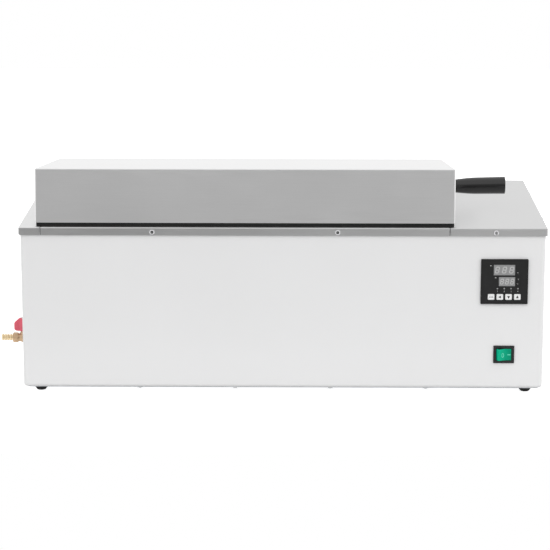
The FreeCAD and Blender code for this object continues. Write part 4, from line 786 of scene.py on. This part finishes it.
def build_keys(size):
    """Each cap is pressed from a rounded rectangle, with a flange behind it and a sign on its dish."""
    cap_corner, flange_corner, flange_edge = 0.0013, 0.0008, 0.0002
    cap_back, flange_back, flange_front = -0.0052, -0.0053, -0.0043
    ink = 0.00006  # lifts a sign clear of the dish
    arrows = {"shift": 180.0, "down": 270.0, "up": 90.0}
    signs = {"set": dots_sign(), **{name: arrow_sign(degrees) for name, degrees in arrows.items()}}
    for name, marks in signs.items():
        key = "key_" + name  # the name of the node and of its body
        low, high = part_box(key)
        front = Plane((middle(key)[0], low.y, middle(key)[2]), (1, 0, 0), (0, 0, 1))
        wide, tall = high.x - low.x, high.z - low.z
        shape = rounded_rectangle(wide - size.key_flange, tall - size.key_flange, cap_corner)
        cap = pressed(shape, front, cap_back, 0.0, size.key_round, size.key_crown)
        plate = rounded_rectangle(wide, tall, flange_corner)
        flange = pressed(plate, front, flange_back, flange_front, flange_edge)
        piece("cap_" + name, together(cap, flange), key, "key_white", [key])
        level = -size.key_crown
        sunk = plates_of(marks, front, level, level + size.print_lift + ink)
        piece("sign_" + name, sunk, key, "key_white", sharp=20.0, look="print_dark")


class BATH_OT_keys(Operator):
    """Build the four keys with their signs"""

    bl_idname = "bath.keys"
    bl_label = "Keys"

    def execute(self, context):
        build_keys(sizes(context))
        return {"FINISHED"}


def build_panel_marks(size):
    """A number above each lamp, a pointer beside each display and three unit signs."""
    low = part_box("controller_panel")[0]
    centre = middle("controller_panel")
    rim_rise, lamp_radius, number_drop = 0.0004, 0.00123, 0.0042
    face = Plane((centre[0], low.y + rim_rise, centre[2]), (1, 0, 0), (0, 0, 1))
    lamps_low, lamps_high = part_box("indicator_lamps")
    first, last = lamps_low.x + lamp_radius - centre[0], lamps_high.x - lamp_radius - centre[0]
    lamp_level = (lamps_low.z + lamps_high.z) / 2 - centre[2]
    pen, tall = 0.00034, 0.0021
    groups = []
    for place, sign in enumerate(("1", "2", "3", "4")):
        x = first + (last - first) * place / 3
        groups.append(bars(placed(SIGNS[sign], x, lamp_level - number_drop, tall), pen))
    pointer = np.array([(-0.0014, -0.0007), (0.0016, 0.0), (-0.0014, 0.0007)])
    for spot in ((-0.0208, 0.0250), (-0.0132, 0.0062)):
        groups.append(pointer[None] + spot)
    units = (("degrees", 0.0202, 0.0138), ("percent", 0.0212, 0.0038), ("degrees", 0.0202, -0.0034))
    for sign, x, z in units:
        groups.append(bars(placed(SIGNS[sign], x, z, tall), pen))
    surface = plates_of(groups, face, 0.0, size.print_lift)
    piece("panel_marks", surface, "base", "panel_black", sharp=20.0, look="print_white")


def build_displays(size):
    """Three slanted digits of seven bars each lie on each window."""
    for name, digit, pitch, bar, shift in (
        ("upper_display", (0.0052, 0.0091), 0.0109, 0.00135, 0.0001),
        ("lower_display", (0.0041, 0.0077), 0.0078, 0.00115, 0.0002),
    ):
        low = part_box(name)[0]
        centre = middle(name)
        window = Plane((centre[0] + shift, low.y, centre[2]), (1, 0, 0), (0, 0, 1))
        strokes = seven_segments(*digit, size.digit_slant)
        groups = [bars(strokes + (place * pitch, 0.0), bar) for place in (-1, 0, 1)]
        surface = plates_of(groups, window, 0.0, size.print_lift)
        digits = "digits_" + name.split("_")[0]
        piece(digits, surface, "base", "display_grey", sharp=20.0, look="segment_grey")
    build_panel_marks(size)


class BATH_OT_displays(Operator):
    """Build the display digits and the small printed marks beside them"""

    bl_idname = "bath.displays"
    bl_label = "Displays and panel marks"

    def execute(self, context):
        build_displays(sizes(context))
        return {"FINISHED"}


def build_rocker(size):
    """The section, a shallow vee with arcs at its sides, is turned by the tilt and pushed upwards."""
    joint = JOINTS["rocker_tilt"]
    pivot = np.array(joint["pos_m"], float)
    tilt = math.radians(joint["range_deg"][1]) / 2
    half, depth, back, height = 0.0117, 0.0053, 0.0042, 0.0188
    pin_radius, pin_break, pin_length = 0.0015, 0.001, 0.0216
    cos, sin = math.cos(tilt), math.sin(tilt)
    corner = np.array([half * cos - depth * sin, -half * sin - depth * cos])
    crest = np.array([0.0, corner[1] + corner[0] * math.tan(tilt)])
    arc = np.linspace(-tilt, math.asin(back / half), 7)
    side = half * np.stack([np.cos(arc), np.sin(arc)], -1)
    mirror = np.array([-1.0, 1.0])
    corners = np.vstack([corner * mirror, crest, corner, side, side[::-1] * mirror])
    cuts = np.zeros(len(corners))
    cuts[:3] = 0.0018, 0.0012, 0.0018
    turn_back = np.array([[cos, -sin], [sin, cos]])
    section = softened(corners, cuts, 6, closed=True) @ turn_back.T
    lying = Plane(pivot, (1, 0, 0), (0, 1, 0))
    body = pressed(section, lying, -height / 2, height / 2, size.rocker_round, both=True)
    rod = [(0.0, pin_break), (0.0, pin_radius), (pin_length, pin_radius), (pin_length, pin_break)]
    pin = turned(rod, pivot - (0, 0, pin_length / 2), (0, 0, 1), 32)
    piece("rocker_paddle", together(body, pin), "rocker", "rocker_green", ["switch_rocker"])
    crest_turned = turn_back @ crest
    left_turned = turn_back @ (corner * mirror)
    along = unit(np.append(crest_turned - left_turned, 0.0))
    ring_at = crest_turned - along[:2] * 0.0034
    ring_drop, dash_drop, dash_right = 0.0008, 0.0002, 0.0079
    raised = Plane((pivot[0] + ring_at[0], pivot[1] + ring_at[1], pivot[2] - ring_drop), along, (0, 0, 1))
    ring = bars(ellipse((0, 0), 0.0017, 0.0030, steps=28), 0.0010, 0.0)
    dash_at = (pivot[0] + dash_right, pivot[1] + crest_turned[1], pivot[2] - dash_drop)
    dash = bars([[(-0.0024, 0.0), (0.0024, 0.0)]], 0.0014, 0.15)
    lift = 2 * size.print_lift
    flat = Plane(dash_at, (1, 0, 0), (0, 0, 1))
    signs = together(plates(ring, raised, -lift, lift), plates(dash, flat, -lift, lift))
    piece("rocker_signs", signs, "rocker", "rocker_green", sharp=20.0, look="print_green")


class BATH_OT_rocker(Operator):
    """Build the green rocker with its raised signs"""

    bl_idname = "bath.rocker"
    bl_label = "Rocker"

    def execute(self, context):
        build_rocker(sizes(context))
        return {"FINISHED"}


def level_ring(centre, level, radius, angle):
    """Points round a centre at one level."""
    x, y = centre[0] + radius * np.cos(angle), centre[1] + radius * np.sin(angle)
    return np.stack([x, y, np.full(len(angle), level)], -1)


def build_tap_handle(size):
    """Each ring's radius is a smooth maximum of the hub's circle and the wings' long rounded oval.

    R(a) = (hub^p + oval(a)^p)^(1/p), where oval(a) = (|cos a / L|^n + |sin a / t|^n)^(-1/n). L, the
    wings' reach, falls from the tips to the shoulders as the ring rises.
    """
    low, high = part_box("valve_handle")
    centre = middle("valve_handle")
    tall, span = high.z - low.z, (high.x - low.x) / 2
    heights = [0.0, 0.0010, 0.0026, 0.0070, 0.0122, 0.0139, 0.0160, 0.0185, 0.0204, tall]
    near_tip = [span - inset for inset in (0.0030, 0.0012, 0.0, 0.0, 0.0, 0.0004)]
    reaches = near_tip + [0.0117, 0.0089, 0.0068, 0.0059]
    level = np.linspace(0, tall, 44)
    reach = np.interp(level, heights, reaches)
    reach = np.convolve(np.pad(reach, 2, "edge"), np.ones(5) / 5, "valid")
    edge = np.minimum(1.0, np.minimum(level, tall - level) / size.wing_round)
    shrink = size.wing_round * (1 - np.sqrt(1 - (1 - edge) ** 2))
    half = size.wing_thickness / 2
    angle = circle(144)
    cos, sin = np.abs(np.cos(angle)), np.abs(np.sin(angle))
    oval_power, hub_power = 5.0, 9
    hub_radius, hub_taper, shrink_share = 0.0061, 0.0007, 0.6
    long_side, short_side = (reach - shrink)[:, None], (half - shrink_share * shrink)[:, None]
    oval = ((cos / long_side) ** oval_power + (sin / short_side) ** oval_power) ** (-1 / oval_power)
    hub = (hub_radius - hub_taper * level / tall - shrink_share * shrink)[:, None]
    radius = (hub**hub_power + oval**hub_power) ** (1 / hub_power)
    rings = [level_ring(centre, low.z + h, r, angle) for h, r in zip(level, radius)]
    well, well_depth, bore = 0.0033, 0.0018, 0.0029
    for share in (0.5, 0.0):
        rings.append(level_ring(centre, high.z, well + share * (radius[-1] - well), angle))
    for inner in (well, bore):
        rings.append(level_ring(centre, high.z - well_depth, np.full(len(angle), inner), angle))
    piece("tap_wings", skin(rings), "drain_handle", "valve_red", ["valve_handle"], sharp=50.0)


class BATH_OT_tap_handle(Operator):
    """Build the tap's red wing handle"""

    bl_idname = "bath.tap_handle"
    bl_label = "Tap handle"

    def execute(self, context):
        build_tap_handle(sizes(context))
        return {"FINISHED"}


def build_valve_body():
    """The body's radius is the lesser of a six-sided bar and a turned profile where it has flats.

    A six-sided bar of half width f has radius f / cos(a - nearest flat), and the profile cuts its
    corners at each end. Elsewhere the body is the turned profile alone.
    """
    low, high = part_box("valve_body")
    axis_z, axis_y = low.z + 0.008, (low.y + high.y) / 2
    flat, waist, belly = 0.0073, 0.0066, 0.0080
    bevel, round_bar = 0.0077, 0.0090
    length_x = high.x - low.x
    stem = length_x / 2
    rows = [(0.0, 0.0068, 1), (0.0004, bevel, 1), (0.0010, round_bar, 1), (0.0070, round_bar, 1)]
    rows += [(0.0076, bevel, 1), (0.0080, waist + 0.0002, 1), (0.0081, waist, 0), (0.0090, waist - 0.0003, 0)]
    bulge = np.linspace(-0.9, 0.9, 15)
    rows += [(stem + belly * math.sin(b) * 0.98, max(waist, belly * math.cos(b)), 0) for b in bulge]
    rows += [(0.0238, waist, 0), (0.0240, waist + 0.0002, 1), (0.0244, bevel, 1), (0.0250, round_bar, 1)]
    rows += [(0.0320, round_bar, 1), (0.0326, bevel, 1), (length_x, 0.0066, 1)]
    along, turned_radius, has_flats = np.array(sorted(rows)).T[:, :, None]
    angle = circle(96)
    off = (angle + np.pi / 6) % (np.pi / 3) - np.pi / 6
    bar = flat / np.cos(off)
    radius = np.where(has_flats > 0.5, np.minimum(bar[None, :], turned_radius), turned_radius)
    x = np.broadcast_to(high.x - along, radius.shape)
    rings = np.stack([x, axis_y + radius * np.sin(angle), axis_z + radius * np.cos(angle)], -1)
    boss = [(0.0, 0.002), (0.0, 0.0053), (0.0072, 0.0050), (0.0094, 0.0050), (0.0094, 0.0031)]
    neck = turned(softened(boss, 0.0004, 3), (high.x - stem, axis_y, axis_z), (0, 0, 1), 64)
    body = together(skin(rings), neck)
    piece("tap_body", body, "base", "valve_brass", ["valve_body"], sharp=28.0, look="cast_brass")


def build_hose_tail(size):
    """Each ridge rises steeply to a narrow land and falls in a long taper towards the tip."""
    low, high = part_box("hose_barb")
    body_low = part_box("valve_body")[0]
    start = np.array([body_low.x, (low.y + high.y) / 2, (low.z + high.z) / 2])
    reach, neck = body_low.x - low.x, 0.0012
    pitch = (reach - neck) / size.barb_ridges
    root, top = 0.0044, (high.z - low.z) / 2 + 0.0004
    bore, bore_depth, bore_break = 0.0028, 0.008, 0.0008
    profile = [(-0.0005, root), (neck, root)]
    cuts = [0.0, 0.0003]
    for ridge in range(size.barb_ridges):
        step = neck + (ridge + 0.3) * pitch
        last = ridge == size.barb_ridges - 1
        profile += [(step - 0.0002, root), (step, top), (step + 0.0008, top)]
        cuts += [0.0003, 0.0002, 0.0003]
        profile.append((reach if last else neck + (ridge + 1) * pitch, root))
        cuts.append(0.0003)
    profile += [(reach, bore), (reach - bore_depth, bore), (reach - bore_depth, bore_break)]
    cuts += [0.0002, 0.0001, 0.0]
    surface = turned(softened(profile, cuts, 4), start, (-1, 0, 0), 72)
    piece("hose_tail", surface, "base", "valve_brass", ["hose_barb"], sharp=32.0)


class BATH_OT_tap_body(Operator):
    """Build the brass tap body and the hose tail"""

    bl_idname = "bath.tap_body"
    bl_label = "Tap body and hose tail"

    def execute(self, context):
        build_valve_body()
        build_hose_tail(sizes(context))
        return {"FINISHED"}


def rays(tree):
    """Whether a ray is the camera's own, and whether it is mirrored or passes through something."""
    path = node(tree, "ShaderNodeLightPath").outputs
    return path["Is Camera Ray"], largest(tree, path["Is Glossy Ray"], path["Is Transmission Ray"])


def pale_floor():
    """Pale ground that keeps the shadow; it glows a little where the camera or a mirror sees it."""
    x0, x1, y0, y1 = -3.0, 3.0, -0.5, 3.5
    mirrored_glow, seen_glow = 0.40, 0.90
    mesh = bpy.data.meshes.new("floor")
    mesh.from_pydata([(x0, y0, 0.0), (x1, y0, 0.0), (x1, y1, 0.0), (x0, y1, 0.0)], [], [(0, 1, 2, 3)])
    floor = bpy.data.objects.new("floor", mesh)
    bpy.context.scene.collection.objects.link(floor)
    material, tree, shader, place = plain_material("pale_floor")
    tone = mixed(tree, noise(tree, place, 3.0), (0.68, 0.68, 0.68), (0.70, 0.70, 0.70))
    tree.links.new(tone, shader.inputs["Base Color"])
    shader.inputs["Roughness"].default_value = 0.9
    shader.inputs["Specular IOR Level"].default_value = 0.1
    seen, mirrored = rays(tree)
    part = multiplied(tree, mirrored, mirrored_glow)
    own = multiplied(tree, seen, seen_glow)
    shader.inputs["Emission Color"].default_value = (1.0, 1.0, 1.0, 1.0)
    tree.links.new(largest(tree, part, own), shader.inputs["Emission Strength"])
    mesh.materials.append(material)


def studio_world(scene):
    """White behind, above and aside, dimmer in front, and darkest low on the left in front.

    The camera's own rays see plain white, and so do mirrored rays wherever the world is pale.
    """
    front_level = 0.38
    world = bpy.data.worlds.new("studio")
    scene.world = world
    world.use_nodes = True
    tree = world.node_tree
    tree.nodes.clear()
    way = node(tree, "ShaderNodeTexCoord").outputs["Generated"]
    axes = node(tree, "ShaderNodeSeparateXYZ", {0: way}).outputs
    aside = maths(tree, "ABSOLUTE", axes["X"])
    behind = ramp(tree, axes["Y"], -0.25, 0.3)
    above = ramp(tree, axes["Z"], 0.3, 0.75)
    beside = ramp(tree, aside, 0.35, 0.7)
    pale = largest(tree, largest(tree, behind, above), beside)
    low = ramp(tree, axes["Z"], -0.02, -0.16)
    lower = swing(tree, axes["X"], 0.0, 1.0, 0.02, 0.20)
    ahead = blended(tree, low, front_level, lower)
    level = blended(tree, pale, ahead, 1.0)
    seen, mirrored = rays(tree)
    in_the_white = multiplied(tree, mirrored, pale)
    plain = largest(tree, seen, in_the_white)
    soft = node(tree, "ShaderNodeBackground", {"Color": (1.0,) * 4, "Strength": level})
    white = node(tree, "ShaderNodeBackground", {"Color": (1.0,) * 4, "Strength": 1.0})
    mix = node(tree, "ShaderNodeMixShader", {0: plain, 1: soft.outputs[0], 2: white.outputs[0]})
    node(tree, "ShaderNodeOutputWorld", {"Surface": mix.outputs[0]})


def soft_lamp(name, place, aim, size, power):
    """Wide rectangular lamp turned towards a point."""
    light = bpy.data.lights.new(name, "AREA")
    light.shape = "RECTANGLE"
    light.size, light.size_y = size
    light.energy = power
    made = bpy.data.objects.new(name, light)
    made.location = place
    made.rotation_euler = (Vector(aim) - Vector(place)).to_track_quat("-Z", "Y").to_euler()
    made.visible_glossy = False  # bright steel mirrors the pale studio, and no lamp
    bpy.context.scene.collection.objects.link(made)


def fitted_camera(scene):
    """The long lens and the place follow from a camera fitted to the photograph's corners."""
    view = bpy.data.cameras.new("camera")
    fall, yaw = 12.955, 0.72
    view.lens = 148.1
    view.sensor_width = 36.0
    view.clip_end = 50.0
    camera = bpy.data.objects.new("camera", view)
    camera.location = (0.05585, -3.561, 0.9638)
    camera.rotation_euler = Euler((math.radians(90.0 - fall), 0.0, math.radians(yaw)))
    scene.collection.objects.link(camera)
    scene.camera = camera


class BATH_OT_stage(Operator):
    """Set the pale floor, the soft studio light and the camera"""

    bl_idname = "bath.stage"
    bl_label = "Stage"

    def execute(self, context):
        scene = context.scene
        scene.view_settings.view_transform = "Standard"
        pale_floor()
        studio_world(scene)
        soft_lamp("soft_front", (0.6, -2.5, 2.9), (0.0, 0.0, 0.12), (6.0, 3.2), 64.0)
        fitted_camera(scene)
        return {"FINISHED"}


STEPS = (
    BATH_OT_finishes,
    BATH_OT_grip,
    BATH_OT_feet,
    BATH_OT_keys,
    BATH_OT_displays,
    BATH_OT_rocker,
    BATH_OT_tap_handle,
    BATH_OT_tap_body,
    BATH_OT_stage,
)


class BATH_PT_dressing(Panel):
    """Lists the steps that dress the bath"""

    bl_idname = "BATH_PT_dressing"
    bl_label = "Water bath"
    bl_space_type = "VIEW_3D"
    bl_region_type = "UI"
    bl_category = "Water bath"

    def draw(self, context):
        for step in STEPS:
            self.layout.operator(step.bl_idname)
        for group in (context.scene.bath_sizes, context.scene.bath_colours):
            box = self.layout.box()
            for name in group.__annotations__:
                box.prop(group, name)


CLASSES = (BathSizes, BathColours, *STEPS, BATH_PT_dressing)


def register():
    for each in CLASSES:
        bpy.utils.register_class(each)
    bpy.types.Scene.bath_sizes = PointerProperty(type=BathSizes)
    bpy.types.Scene.bath_colours = PointerProperty(type=BathColours)


def unregister():
    del bpy.types.Scene.bath_colours
    del bpy.types.Scene.bath_sizes
    for each in reversed(CLASSES):
        bpy.utils.unregister_class(each)


def main():
    register()
    bpy.ops.bath.finishes()
    bpy.ops.bath.grip()
    bpy.ops.bath.feet()
    bpy.ops.bath.keys()
    bpy.ops.bath.displays()
    bpy.ops.bath.rocker()
    bpy.ops.bath.tap_handle()
    bpy.ops.bath.tap_body()
    bpy.ops.bath.stage()


if __name__ == "__main__":
    main()
